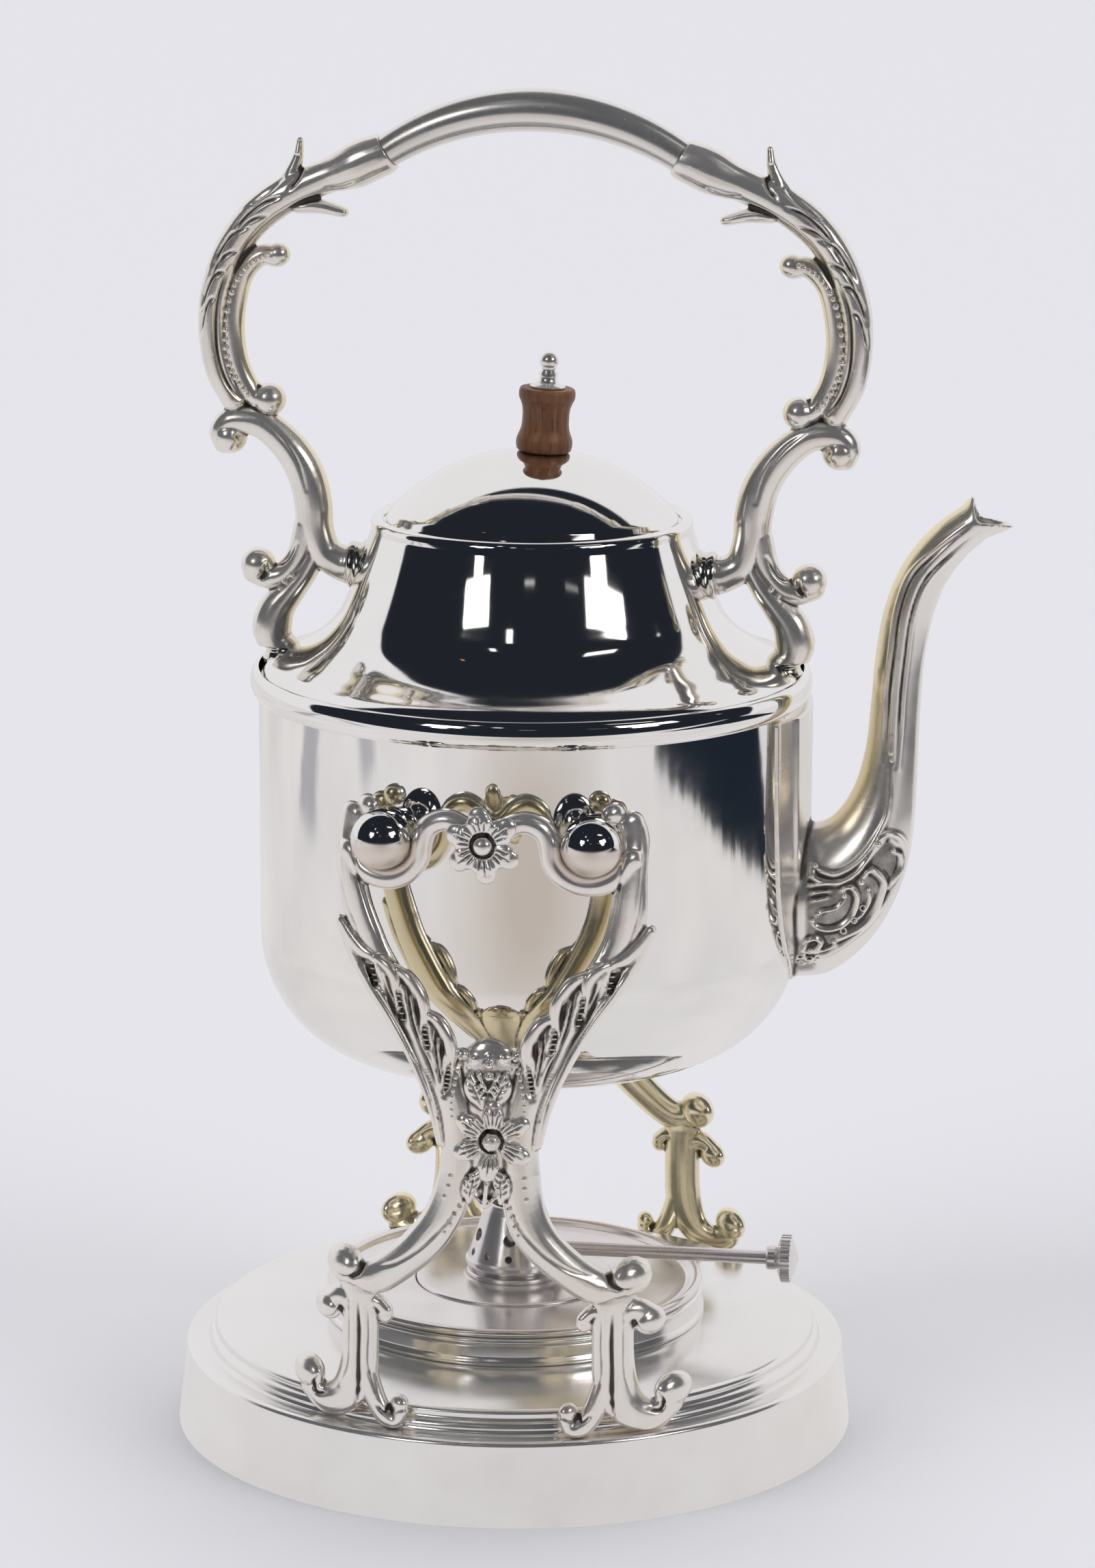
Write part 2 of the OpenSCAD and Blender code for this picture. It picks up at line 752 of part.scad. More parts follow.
// Sockets on the bowl in which the spout side studs turn
module stud_sockets() {
    color("silver") on_axis() for (y = [-1, 1]) difference() {
        translate([stud_x, 0, stud_z]) rotate([-90 * y, 0, 0]) difference() {
            translate([0, 0, bowl_r - 12]) cylinder(r = socket_r, h = socket_y - bowl_r + 12);
            translate([0, 0, bowl_r - 13]) cylinder(r = stud_r + 0.05, h = 40);
        }
        translate([0, 0, stud_z - 20]) cylinder(r = bowl_r, h = 40);
    }
}

module ball_stud(start) {
    translate([0, 0, start]) cylinder(r = stud_r, h = ball_y - start);
    translate([0, 0, ball_y]) sphere(r = ball_r, $fn = 48);
}

module pivot_studs() {
    color("silver") on_axis() for (y = [-1, 1])
        translate([stud_x, 0, stud_z]) rotate([-90 * y, 0, 0]) ball_stud(bowl_r - 3);
}

// The studs on the handle's far side are fixed to the bowl and rest in the cradles
module rest_studs() {
    color("silver") on_axis() difference() {
        for (y = [-1, 1])
            translate([-stud_x, 0, stud_z]) rotate([-90 * y, 0, 0]) {
                ball_stud(bowl_r - 12);
                translate([0, 0, bowl_r - 12]) cylinder(r = socket_r, h = socket_y - bowl_r + 12);
            }
        translate([0, 0, stud_z - 20]) cylinder(r = bowl_r, h = 40);
    }
}

// Spout

// The spout is drawn to these heights above the table's kettle, for a bowl of this radius
draw_bowl = 73;
draw_reach = 127.5;
function spout_x(x) = bowl_r + (x - draw_bowl) * (spout_reach - bowl_r) / (draw_reach - draw_bowl);
function spout_z(z) = bowl_z + (z - 105.5) * (bowl_h + neck_h) / 145.5;
spout_k = spout_w / 29;

// Middle, half depth, half width and slope of each section, from the bowl to the lip
SPOUT = [
    [70, 150, 23, 14.5, 8], [76, 150.5, 22.4, 14.5, 14], [83, 153.5, 18.5, 13.8, 26],
    [88.6, 160, 14.4, 12.4, 45], [92.6, 168.5, 11, 10.4, 66], [95.4, 179, 8.4, 8.4, 80],
    [97, 191, 7, 7, 87], [97.8, 204, 6.6, 6.5, 87], [98.8, 217, 6.5, 6.3, 84],
    [101, 229, 6.5, 6.1, 74], [105.2, 239.4, 6.2, 5.9, 60], [111.4, 247.4, 5.8, 5.6, 46],
    [117.6, 252.6, 5.4, 5.3, 38]
];

// A section is a rounded lozenge, with a keel below and a ridge on each side
function spout_ring(s, g) = [
    for (a = [0 : 30 : 330])
        let (d = s[2] - g, w = s[3] * spout_k - g, keel = a == 270 ? 1.06 : 1)
            [spout_x(s[0]) - sin(s[4]) * d * sin(a) * keel, -w * cos(a),
             spout_z(s[1]) + cos(s[4]) * d * sin(a) * keel]
];

function end_cap(n, start) = [for (k = [0 : n - 1]) start + k];

// The mouth runs out into a long lower lip and a short upper point; run carries it further
function spout_mouth(g, run) =
    let (s = SPOUT[len(SPOUT) - 1], d = s[2] - g, w = s[3] * spout_k - g) [
        for (a = [0 : 30 : 330])
            let (out = 1 + run - sin(a) * (a > 180 ? lip_run : -tip_run), up = a > 180 ? 0.4 : 1)
                [spout_x(s[0]) + out * 0.9 - sin(s[4]) * d * sin(a),
                 -w * cos(a) * 0.96,
                 spout_z(s[1]) + out * up + cos(s[4]) * d * sin(a)]
    ];
lip_run = 6.6;
tip_run = 1.8;

module spout_solid(g, run) {
    rings = concat([for (s = SPOUT) spout_ring(s, g)], [spout_mouth(g, run)]);
    sides = 12;
    count = len(rings);
    caps = [
        [for (k = [0 : sides - 1]) sides - 1 - k],
        [for (k = [0 : sides - 1]) (count - 1) * sides + k]
    ];
    polyhedron(points = [for (r = rings) each r], faces = concat(quads(count, sides), caps));
}

module spout() {
    color("silver") on_axis() cast() difference() {
        union() {
            spout_solid(0, 0);
            spur();
        }
        spout_solid(spout_t, 6);
        rotate_extrude($fn = 120) polygon(concat([[0, bowl_z - 20]], bowl_skin(-0.05), [[0, bowl_top]]));
        translate([0, 0, bowl_top - rim_h / 2 - 0.3]) cylinder(r = bowl_r + 3, h = rim_h * 2, $fn = 96);
    }
}

// Spur that runs up the bowl above the spout's root
module spur() {
    low = spout_z(168);
    high = bowl_top - rim_h / 2 - 0.3;
    intersection() {
        translate([0, 0, low]) cylinder(r1 = bowl_r + 2.6, r2 = bowl_r + 1.4, h = high - low, $fn = 96);
        translate([bowl_r - 12, 0, low]) rotate([90, 0, 90])
            linear_extrude(20)
                polygon([
                    [-spout_w / 2, -4], [spout_w / 2, -4], [spout_w * 0.36, (high - low) * 0.45],
                    [spout_w * 0.26, high - low], [-spout_w * 0.26, high - low],
                    [-spout_w * 0.36, (high - low) * 0.45]
                ]);
    }
}

// Handle

// The drawing of a handle casting is for these heights above the neck's top and this reach
draw_handle = 90;
draw_grip = 107.5;
function handle_point(s) = [
    s[0] < 60 && s[1] > 60 ? s[0] + (socket_end_x - 38.7) * (60 - s[0]) / 21 : s[0] * handle_x / draw_handle,
    neck_top + (s[1] > 0 ? s[1] * grip_z / draw_grip : s[1]),
    s[2],
    s[3]
];
function handle_path(p) = [for (s = p) handle_point(s)];

// Upper limb, from the grip's socket down the outside to the waist scroll
LIMB = [
    [47.6, 92.4, 6, 5.6], [54, 89.2, 4.8, 4.6], [62, 85.6, 4.8, 4.6], [70, 81.2, 4.4, 4.6],
    [77.4, 74.6, 4, 4.6], [83, 66, 3.7, 4.4], [86, 56, 3.6, 4.2], [86.4, 46, 3.5, 4],
    [84.6, 36.6, 3.4, 3.8], [80.4, 28.6, 3.4, 3.6]
];
// Beaded inner scroll, from its curl to its ball
SCROLL = [
    [69, 67.2, 2.4, 2.6], [74.6, 65.6, 2.3, 3], [79.4, 59.4, 2.5, 3.2], [81.8, 49.6, 2.6, 3.4],
    [81.2, 40.4, 2.6, 3.2], [78, 33, 2.5, 3], [73.6, 29.8, 2.6, 3]
];
// Lower limb, from the outer curl in an S to the neck
LOWER = [
    [82.4, 20.4, 3, 3], [79.6, 24, 3.4, 3.6], [72, 22.4, 3.6, 4], [65.4, 16.6, 4.2, 4.4],
    [61, 9.4, 4.6, 4.6], [59.2, 1.6, 4.9, 4.6], [58.8, -5.6, 4.8, 4.4], [56, -12, 4.2, 4.2],
    [52.6, -15, 4.2, 4.6]
];
// Branch to the outer ball, and the branch that stands on the shoulder
BRANCH = [
    [60.4, -6, 3.6, 4], [63.4, -13, 3.2, 3.6], [68.4, -17.6, 2.8, 3.2], [73, -17, 2.8, 3]
];
STAND = [
    [60, -14, 2.8, 3.4], [64.4, -20.6, 3, 3.6], [70, -26.6, 4.6, 4.4], [70.4, -32.6, 4.8, 4.6],
    [68, -38.4, 4.4, 4.6]
];
THORN = [[66, 86.4, 3, 2.6], [64, 92, 1.9, 1.8], [62.4, 98.4, 1.1, 1.1]];
HOOK = [[62, 82, 2.8, 3], [56, 80.8, 2, 2.6], [51.6, 79.8, 1.5, 2.4]];

module handle_casting() {
    color("silver") cast() difference() {
        union() {
            stroke(handle_path(LIMB), 1, 8);
            stroke(handle_path(SCROLL), 2, 6);
            stroke(handle_path(LOWER), 2, 8);
            stroke(handle_path(BRANCH), 1, 6);
            stroke(handle_path(STAND), 1, 8);
            stroke(handle_path(THORN), 1, 6);
            stroke(handle_path(HOOK), 1, 6);
            handle_ball([71, 29.2], 4.5);
            handle_ball([81, 18.9], 4.7);
            handle_ball([74.2, -15.6], 4.7);
            handle_ball([68.4, 67.6], 3.2);
            grip_socket();
        }
        // Flat faces for the grip, the boss on the neck and the pad on the shoulder
        translate([boss_x - 20, -20, boss_z - 20]) cube([20, 40, 40]);
        translate([pad_x - 20, -20, pad_z - 30]) cube([40, 40, 30]);
        translate([socket_end_x, 0, socket_end_z]) rotate([0, grip_angle, 0])
            translate([-40, -20, -20]) cube([40, 40, 40]);
    }
}

module handle_ball(at, r) {
    p = handle_point([at[0], at[1], 0, 0]);
    translate([p[0], 0, p[1]]) sphere(r = r, $fn = 10);
}

// Collar of the casting round the end of the grip
module grip_socket() {
    translate([socket_end_x, 0, socket_end_z]) rotate([0, 90 + grip_angle, 0])
        translate([0, 0, -2]) cylinder(r1 = grip_end_d / 2 + 1.3, r2 = 6, h = 10, $fn = 20);
}

module handle_right() {
    on_axis() handle_casting();
}

module handle_left() {
    on_axis() mirror([1, 0, 0]) handle_casting();
}

// Tapered tube bent to the grip's curve
module handle_grip() {
    sides = 16;
    turns = [-grip_angle : grip_angle / 8 : grip_angle + eps];
    rings = [
        for (a = turns)
            let (r = grip_d / 2 + (grip_end_d - grip_d) / 2 * pow(abs(a) / grip_angle, 1.6))
                [for (k = [0 : sides - 1])
                    let (b = 360 * k / sides, out = grip_r + r * cos(b))
                        [out * sin(a), r * sin(b), grip_c + out * cos(a)]]
    ];
    count = len(rings);
    color("silver") on_axis() polyhedron(
        points = [for (r = rings) each r],
        faces = concat(
            [for (f = quads(count, sides)) [f[2], f[1], f[0]]],
            [[for (k = [0 : sides - 1]) k], [for (k = [0 : sides - 1]) (count - 1) * sides + sides - 1 - k]]
        )
    );
}

// Disc that joins each casting to the neck, hollowed to fit the cone
module neck_bosses() {
    color("silver") on_axis() difference() {
        for (side = [-1, 1])
            translate([side * boss_x, 0, boss_z]) rotate([0, -90 * side, 0])
                cylinder(r1 = boss_r - 0.6, r2 = boss_r, h = 12);
        rotate_extrude() polygon([
            [0, bowl_top], [neck_foot_r, bowl_top], [neck_foot_r, shoulder_z + 1],
            [neck_r, neck_top - 2.6], [0, neck_top]
        ]);
    }
}

// Pad that joins each casting to the shoulder, hollowed to fit its sweep
module shoulder_pads() {
    outer = neck_skin(0);
    color("silver") on_axis() difference() {
        for (side = [-1, 1])
            translate([side * pad_x, 0, bowl_top - 2]) cylinder(r = pad_r, h = pad_z - bowl_top + 2);
        rotate_extrude() polygon(concat([[0, bowl_top - 10], [bowl_r, bowl_top - 10]], outer, [[0, shoulder_z + 1]]));
    }
}

// Lid

// Turns the knob and its fixings off the lid's middle, about the middle of the dome's curve
module leaned() {
    on_axis() translate([0, 0, dome_top - dome_r]) rotate([0, knob_lean, 0])
        translate([0, 0, dome_r - dome_top]) children();
}

// Outside of the dome at radius r, drawn in by g
function dome_z(r, g) = dome_top - dome_r + sqrt(pow(dome_r - g, 2) - r * r);

// Outline of the lid's outside, from its top to the edge that rests on the neck's seat
function dome_outline() = let (edge = lid_r - 1) concat(
    [for (i = [0 : 10]) [i / 10 * edge, dome_z(i / 10 * edge, 0)]],
    [[lid_r, dome_z(edge, 0) - 0.8], [lid_r, seat_z + 0.1]]
);

module lid_dome() {
    inner_r = lid_r - 2.4;
    color("silver") difference() {
        on_axis() rotate_extrude()
            polygon(concat(
                dome_outline(),
                [[inner_r, seat_z + 0.1]],
                [for (i = [10 : -1 : 0]) [i / 10 * inner_r, dome_z(i / 10 * inner_r, wall)]]
            ));
        leaned() translate([0, 0, dome_top - 10]) cylinder(d = 3.04, h = 20);
    }
}

// Ring under the dome that drops inside the neck's seat
module lid_bezel() {
    outer_r = seat_r - 0.4;
    color("silver") on_axis() rotate_extrude()
        polygon([
            [outer_r - 1, seat_z - bezel_h],
            [outer_r, seat_z - bezel_h + 0.6],
            [outer_r, seat_z + 0.1],
            [outer_r - 1, seat_z + 0.1]
        ]);
}

module barrel(x0, x1) {
    translate([x0, hinge_y, hinge_z]) rotate([0, 90, 0]) cylinder(d = barrel_d, h = x1 - x0, $fn = 32);
}

module pin_bore() {
    translate([-hinge_w, hinge_y, hinge_z]) rotate([0, 90, 0])
        cylinder(r = pin_d / 2 + 0.04, h = 2 * hinge_w, $fn = 32);
}

// Leaf on the lid, with the middle knuckle
module lid_hinge_leaf() {
    half = hinge_w / 6 - 0.15;
    back = lid_r - 1.5;
    color("silver") on_axis() difference() {
        union() {
            barrel(-half, half);
            translate([-half, back, hinge_z - barrel_r + 0.2]) cube([2 * half, hinge_y - back, 1.2]);
        }
        pin_bore();
        rotate_extrude() polygon(concat(dome_outline(), [[0, seat_z]]));
    }
}

// Leaf on the neck, with the two outer knuckles
module neck_hinge_leaf() {
    inner = hinge_w / 6 + 0.15;
    deep = 5;
    wide = hinge_w / 2 - inner;
    color("silver") on_axis() difference() {
        for (x = [-hinge_w / 2, inner]) {
            barrel(x, x + wide);
            translate([x, neck_r - 4, neck_top - deep]) cube([wide, hinge_y - neck_r + 4, deep]);
            translate([x, hinge_y - barrel_r, neck_top - deep])
                cube([wide, 2 * barrel_r, deep + hinge_z - neck_top]);
        }
        pin_bore();
        rotate_extrude() polygon([
            [0, shoulder_z], [neck_foot_r, shoulder_z + 1], [neck_r, neck_top - 2.6],
            [neck_r - 0.1, neck_top - 0.9], [neck_r - 0.7, neck_top - 0.2],
            [neck_r - 1.5, neck_top], [0, neck_top + 0.3]
        ]);
        translate([-hinge_w, neck_r - 8, neck_top]) cube([2 * hinge_w, 6.6, 6]);
    }
}

module hinge_pin() {
    color("gray") on_axis() translate([-hinge_w / 2 - 0.4, hinge_y, hinge_z]) rotate([0, 90, 0])
        cylinder(d = pin_d, h = hinge_w + 0.8, $fn = 32);
}

// Turned wooden knob, waisted, with a bulged foot that is cupped under to sit on the dome
module lid_knob() {
    r = knob_d / 2;
    w = knob_waist / 2;
    foot = dome_z(r - 1, 0) + 0.02;
    h = knob_top - foot;
    color("saddlebrown") leaned() rotate_extrude()
        polygon([
            [1.55, dome_top + 0.06],
            [r - 1, foot + 0.06],
            [r - 0.2, foot + h * 0.03],
            [r, foot + h * 0.12],
            [r - 0.15, foot + h * 0.2],
            [r - 0.7, foot + h * 0.27],
            [w + 0.3, foot + h * 0.34],
            [w, foot + h * 0.42],
            [w, foot + h * 0.62],
            [w + 0.25, foot + h * 0.72],
            [w + 0.8, foot + h * 0.8],
            [r, foot + h * 0.86],
            [r, foot + h * 0.95],
            [r - 0.3, knob_top],
            [1.55, knob_top]
        ]);
}

module knob_finial() {
    color("silver") leaned() translate([0, 0, knob_top]) rotate_extrude()
        difference() {
            union() {
                translate([0, -knob_h - 4]) square([1.5, knob_h + 5]);
                polygon([
                    [0, 0], [4.7, 0], [4.5, 0.7], [2.9, 1.3], [2.2, 2.2], [2.3, 3.6], [1.7, 4.6],
                    [2, 5.2], [0, 5.2]
                ]);
                translate([0, 7.1]) circle(r = 2.5, $fn = 48);
            }
            translate([-10, -60]) square([10, 100]);
        }
}

module knob_nut() {
    color("silver") leaned() difference() {
        translate([0, 0, dome_z(4, wall) - 2.4]) cylinder(r = 4, h = 2.35, $fn = 6);
        translate([0, 0, dome_top - wall - 5]) cylinder(r = 1.5, h = 8, $fn = 32);
    }
}

base();
lamp_ring();
spirit_font();
font_disc();
burner_collar();
burner_cap();
wick_tube();
wick();
wick_wheel();
winder_rod();
winder_ferrule();
winder_knob();
front_support();
back_support();
front_feet();
back_feet();
front_rosette();
back_rosette();
front_flower();
back_flower();
kettle_bowl();
kettle_neck();
shoulder_rim();
stud_sockets();
pivot_studs();
rest_studs();
spout();
handle_left();
handle_right();
handle_grip();
neck_bosses();
shoulder_pads();
lid_dome();
lid_bezel();
lid_hinge_leaf();
neck_hinge_leaf();
hinge_pin();
lid_knob();
knob_finial();
knob_nut();
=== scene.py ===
import math

import bpy
import numpy as np
from mathutils import Matrix, Vector


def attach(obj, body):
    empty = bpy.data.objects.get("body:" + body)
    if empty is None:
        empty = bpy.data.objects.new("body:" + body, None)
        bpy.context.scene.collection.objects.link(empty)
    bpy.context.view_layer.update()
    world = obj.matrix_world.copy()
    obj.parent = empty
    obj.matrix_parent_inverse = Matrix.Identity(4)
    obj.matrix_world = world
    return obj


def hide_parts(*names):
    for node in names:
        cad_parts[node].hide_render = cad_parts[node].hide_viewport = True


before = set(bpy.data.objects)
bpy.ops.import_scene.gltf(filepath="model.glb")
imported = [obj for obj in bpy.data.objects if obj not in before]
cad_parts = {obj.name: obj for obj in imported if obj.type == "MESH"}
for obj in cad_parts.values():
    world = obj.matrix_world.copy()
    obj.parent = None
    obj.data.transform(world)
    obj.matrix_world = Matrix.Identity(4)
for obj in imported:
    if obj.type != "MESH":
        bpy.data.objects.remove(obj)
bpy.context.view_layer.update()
MM = 0.001
KETTLE_OFF = 4.0

# Spun base
# A round stand spun from sheet brass and silver plated: a low wall with a rolled top edge, a narrow ledge,
# a moulded step and a gently crowned plateau. It stands on the raw edge of its wall.


def soften(points, radius=0.4, steps=5):
    """The outline with each corner turned into a small curve, as spinning leaves it."""
    straight, most = 0.06, 0.45
    p = np.array(points, float)
    out = [p[0]]
    for a, b, c in zip(p[:-2], p[1:-1], p[2:]):
        u, v = a - b, c - b
        lu, lv = np.linalg.norm(u), np.linalg.norm(v)
        bend = math.acos(np.clip(-(u @ v) / (lu * lv), -1, 1))
        if bend < straight:
            out.append(b)
            continue
        r = min(radius, most * lu, most * lv)
        s, e = b + u / lu * r, b + v / lv * r
        for t in np.linspace(0, 1, steps):
            out.append((1 - t) ** 2 * s + 2 * t * (1 - t) * b + t * t * e)
    out.append(p[-1])
    return np.array(out)


def flow(points, steps=8):
    """Points along one smooth curve through the given ones."""
    p = np.array(points, float)
    q = np.vstack([2 * p[0] - p[1], p, 2 * p[-1] - p[-2]])
    t = np.linspace(0, 1, steps, endpoint=False)[:, None]
    out = []
    for a, b, c, d in zip(q[:-3], q[1:-2], q[2:-1], q[3:]):
        out.append(0.5 * (2 * b + (c - a) * t + (2 * a - 5 * b + 4 * c - d) * t**2 + (3 * b - a - 3 * c + d) * t**3))
    return np.vstack(out + [p[-1:]])


def lathe(outline, around=192, at=(0, 0)):
    """Vertices and faces of a closed outline of radius and height, turned about the upright axis."""
    p = np.array(outline, float)
    if np.linalg.norm(p[0] - p[-1]) < 1e-9:
        p = p[:-1]
    area = sum(a[0] * b[1] - b[0] * a[1] for a, b in zip(p, np.roll(p, -1, 0)))
    if area < 0:
        p = p[::-1]
    verts, rings = [], []
    for r, z in p:
        if r < 1e-6:
            rings.append([len(verts)])
            verts.append((at[0], at[1], z))
        else:
            rings.append(list(range(len(verts), len(verts) + around)))
            a = np.arange(around) * 2 * math.pi / around
            verts += list(zip(at[0] + r * np.cos(a), at[1] + r * np.sin(a), np.full(around, z)))
    faces = []
    for low, high in zip(rings, rings[1:] + rings[:1]):
        if len(low) == 1 and len(high) == 1:
            continue
        for k in range(around):
            m = (k + 1) % around
            if len(low) == 1:
                faces.append((low[0], high[m], high[k]))
            elif len(high) == 1:
                faces.append((low[k], low[m], high[0]))
            else:
                faces.append((low[k], low[m], high[m], high[k]))
    return verts, faces


def tube_faces(rings, around):
    """Faces of a closed tube of rings, with both of its ends shut."""
    faces = [
        (i * around + k, i * around + (k + 1) % around, (i + 1) * around + (k + 1) % around, (i + 1) * around + k)
        for i in range(rings - 1) for k in range(around)
    ]
    last = (rings - 1) * around
    return faces + [tuple(range(around - 1, -1, -1)), tuple(range(last, last + around))]


def joined(shells):
    """The vertices and faces of several skins as those of one."""
    verts, faces, start = [], [], 0
    for v, f in shells:
        verts.append(np.asarray(v, float))
        faces += [tuple(i + start for i in face) for face in f]
        start += len(v)
    return np.vstack(verts), faces


def put(name, data):
    """A new object in the scene."""
    made = bpy.data.objects.new(name, data)
    bpy.context.scene.collection.objects.link(made)
    return made


def piece(name, shells, material, sharp=40):
    """One object from one or more closed skins in millimetres, shaded smooth but for its sharp edges."""
    verts, faces = joined(shells)
    mesh = bpy.data.meshes.new(name)
    mesh.from_pydata((verts * MM).tolist(), [], faces)
    mesh.validate()
    mesh.shade_smooth()
    mesh.set_sharp_from_angle(angle=math.radians(sharp))
    mesh.materials.append(material)
    return put(name, mesh)


def fit(made, body, slot, *nodes):
    """Rides on its body and stands for its CAD nodes; slot is not used."""
    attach(made, body)
    if nodes:
        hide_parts(*nodes)
    return made


class Graph:
    """Shader nodes, and the sums and colours that they are made of."""

    def __init__(self, tree):
        self.nodes, self.links = tree.nodes, tree.links

    def add(self, kind, **settings):
        node = self.nodes.new(kind)
        for key, value in settings.items():
            setattr(node, key, value)
        return node

    def feed(self, socket, value):
        """Links a socket to another node's, or gives it a number or a colour."""
        if isinstance(value, bpy.types.NodeSocket):
            self.links.new(value, socket)
        elif isinstance(value, tuple) and len(socket.default_value) > len(value):
            socket.default_value = (*value, 1)
        else:
            socket.default_value = value

    def ramp(self, source, stops):
        """Colours or greys over a value from 0 to 1."""
        made = self.add("ShaderNodeValToRGB")
        while len(made.color_ramp.elements) < len(stops):
            made.color_ramp.elements.new(0.5)
        for element, (at, colour) in zip(made.color_ramp.elements, stops):
            element.position = at
            element.color = (*colour, 1) if isinstance(colour, tuple) else (colour, colour, colour, 1)
        self.feed(made.inputs["Fac"], source)
        return made.outputs["Color"]

    def blend(self, share, first, second, how="MIX"):
        made = self.add("ShaderNodeMix", data_type="RGBA", blend_type=how)
        sockets = {s.identifier: s for s in made.inputs}
        for value, key in ((share, "Factor_Float"), (first, "A_Color"), (second, "B_Color")):
            self.feed(sockets[key], value)
        return [s for s in made.outputs if s.identifier == "Result_Color"][0]

    def sums(self, how, first, second=0.0, clamp=False):
        made = self.add("ShaderNodeMath", operation=how, use_clamp=clamp)
        for value, socket in zip((first, second), made.inputs):
            self.feed(socket, value)
        return made.outputs["Value"]

    def vectors(self, how, first, second):
        made = self.add("ShaderNodeVectorMath", operation=how)
        for value, socket in zip((first, second), made.inputs):
            self.feed(socket, value)
        return made.outputs

    def split(self, vector):
        """The X, Y and Z of a vector."""
        made = self.add("ShaderNodeSeparateXYZ")
        self.feed(made.inputs["Vector"], vector)
        return made.outputs


class Finish(Graph):
    """A surface, built up from a plain principled one."""

    def __init__(self, name, metallic=1.0):
        self.material = bpy.data.materials.new(name)
        self.material.use_nodes = True
        super().__init__(self.material.node_tree)
        self.surface = self.nodes["Principled BSDF"]
        self.surface.inputs["Metallic"].default_value = metallic
        self.place = self.add("ShaderNodeTexCoord").outputs["Object"]
        self.normal = None

    def grain(self, scale, detail=4, roughness=0.5, stretch=(1, 1, 1)):
        """A noise over the surface; stretch draws it out."""
        where = self.add("ShaderNodeMapping")
        made = self.add("ShaderNodeTexNoise")
        for socket, value in ((where.inputs["Scale"], stretch), (where.inputs["Vector"], self.place),
                              (made.inputs["Vector"], where.outputs["Vector"]), (made.inputs["Scale"], scale),
                              (made.inputs["Detail"], detail), (made.inputs["Roughness"], roughness)):
            self.feed(socket, value)
        return made.outputs["Fac"]

    def bump(self, source, distance, strength=1.0):
        """Fine relief, laid over what is there already."""
        made = self.add("ShaderNodeBump")
        self.feed(made.inputs["Distance"], distance)
        self.feed(made.inputs["Strength"], strength)
        self.feed(made.inputs["Height"], source)
        if self.normal is not None:
            self.feed(made.inputs["Normal"], self.normal)
        self.normal = made.outputs["Normal"]
        self.set("Normal", self.normal)

    def set(self, socket, value):
        self.feed(self.surface.inputs[socket], value)


def plate(name, clean, warm, low, high, scratch=0.06, dents=0.0, recess=0.0, metal=1.0, worn=None):
    """Silver plate: cloudy tarnish, rubbed patches, fine scratches, and dark hollows in castings."""
    made = Finish(name, metal)
    cloud = made.grain(14, 5, 0.6)
    between_them = tuple(0.6 * a + 0.4 * b for a, b in zip(clean, warm))
    colour = made.ramp(cloud, [(0.38, clean), (0.62, between_them), (0.8, warm)])
    rub = made.grain(55, 6, 0.65)
    rough = made.ramp(rub, [(0.3, low), (0.7, high)])
    hair = made.blend(0.5, made.grain(900, 2, 0.5, (1, 1, 0.06)), made.grain(700, 2, 0.5, (0.08, 0.9, 1)), "MULTIPLY")
    if recess:
        outward = made.vectors("MULTIPLY", made.place, (1, 1, 0))["Vector"]
        normal = made.add("ShaderNodeTexCoord").outputs["Normal"]
        facing_in = made.sums("MULTIPLY", made.vectors("DOT_PRODUCT", normal, outward)["Value"], -11)
        colour = made.blend(made.ramp(facing_in, [(0.15, 0.0), (0.7, 1.0)]), colour, YELLOWED)
        depth = made.add("ShaderNodeAttribute", attribute_name="recess").outputs["Fac"]
        share = made.sums("MULTIPLY", depth, made.ramp(made.grain(220, 3, 0.6), [(0.25, 0.7), (0.6, 1.0)]))
        share = made.ramp(share, [(0.1, 0.0), (0.5, recess), (1.0, recess)])
        colour = made.blend(share, colour, OXIDE)
        rough = made.blend(share, rough, (0.5, 0.5, 0.5))
    if worn:
        above = made.sums("MULTIPLY", made.sums("SUBTRACT", made.split(made.place)["Z"], worn - 0.0012), 400.0)
        uneven = made.sums("MULTIPLY", made.sums("SUBTRACT", rub, 0.5), 0.6)
        share = made.ramp(made.sums("ADD", above, uneven), [(0.0, 1.0), (1.0, 0.0)])
        colour = made.blend(share, colour, RUBBED)
        rough = made.blend(share, rough, (0.42, 0.42, 0.42))
    made.set("Base Color", colour)
    made.set("Roughness", rough)
    if dents:
        made.bump(made.grain(22, 2, 0.4), 0.0012, dents)
    made.bump(hair, 0.00002, scratch)
    return made.material


# Colours of the lacquer on inward faces, the dark in the hollows, and the matte plate where a stud rubs
YELLOWED, OXIDE, RUBBED = (0.93, 0.83, 0.58), (0.06, 0.05, 0.042), (0.93, 0.84, 0.77)
SPUN = plate("spun_silver_plate", (0.94, 0.925, 0.91), (0.89, 0.855, 0.81), 0.12, 0.22, 0.12, 0.1, metal=0.86)
BASE_OUT = [
    (92.45, 0), (92.1, 3), (91.2, 11), (90.2, 19.4), (90.1, 20.6), (90.3, 21.3), (90.0, 22.1), (89.2, 22.5),
    (84.8, 22.5), (84.2, 22.7), (83.8, 23.4), (83.7, 24.4), (83.2, 25.2), (82.3, 25.7), (82.0, 26.4), (82.1, 27.6),
    (81.6, 28.2), (80.6, 28.45), (78.0, 28.5), (66.0, 29.3), (52.0, 29.95), (49.5, 30.0)
]
BASE_IN = [(49.5, 28.8), (66.0, 28.1), (80.4, 27.2), (80.9, 25.4), (82.6, 23.0), (83.0, 21.3), (88.8, 21.3), (90.0, 11), (91.25, 0)]
spun_base = piece("spun_base", [lathe(np.vstack([soften(BASE_OUT, 0.6), soften(BASE_IN, 0.6)]), 256)], SPUN, 60)
fit(spun_base, "stand", "spun_silver", "base")

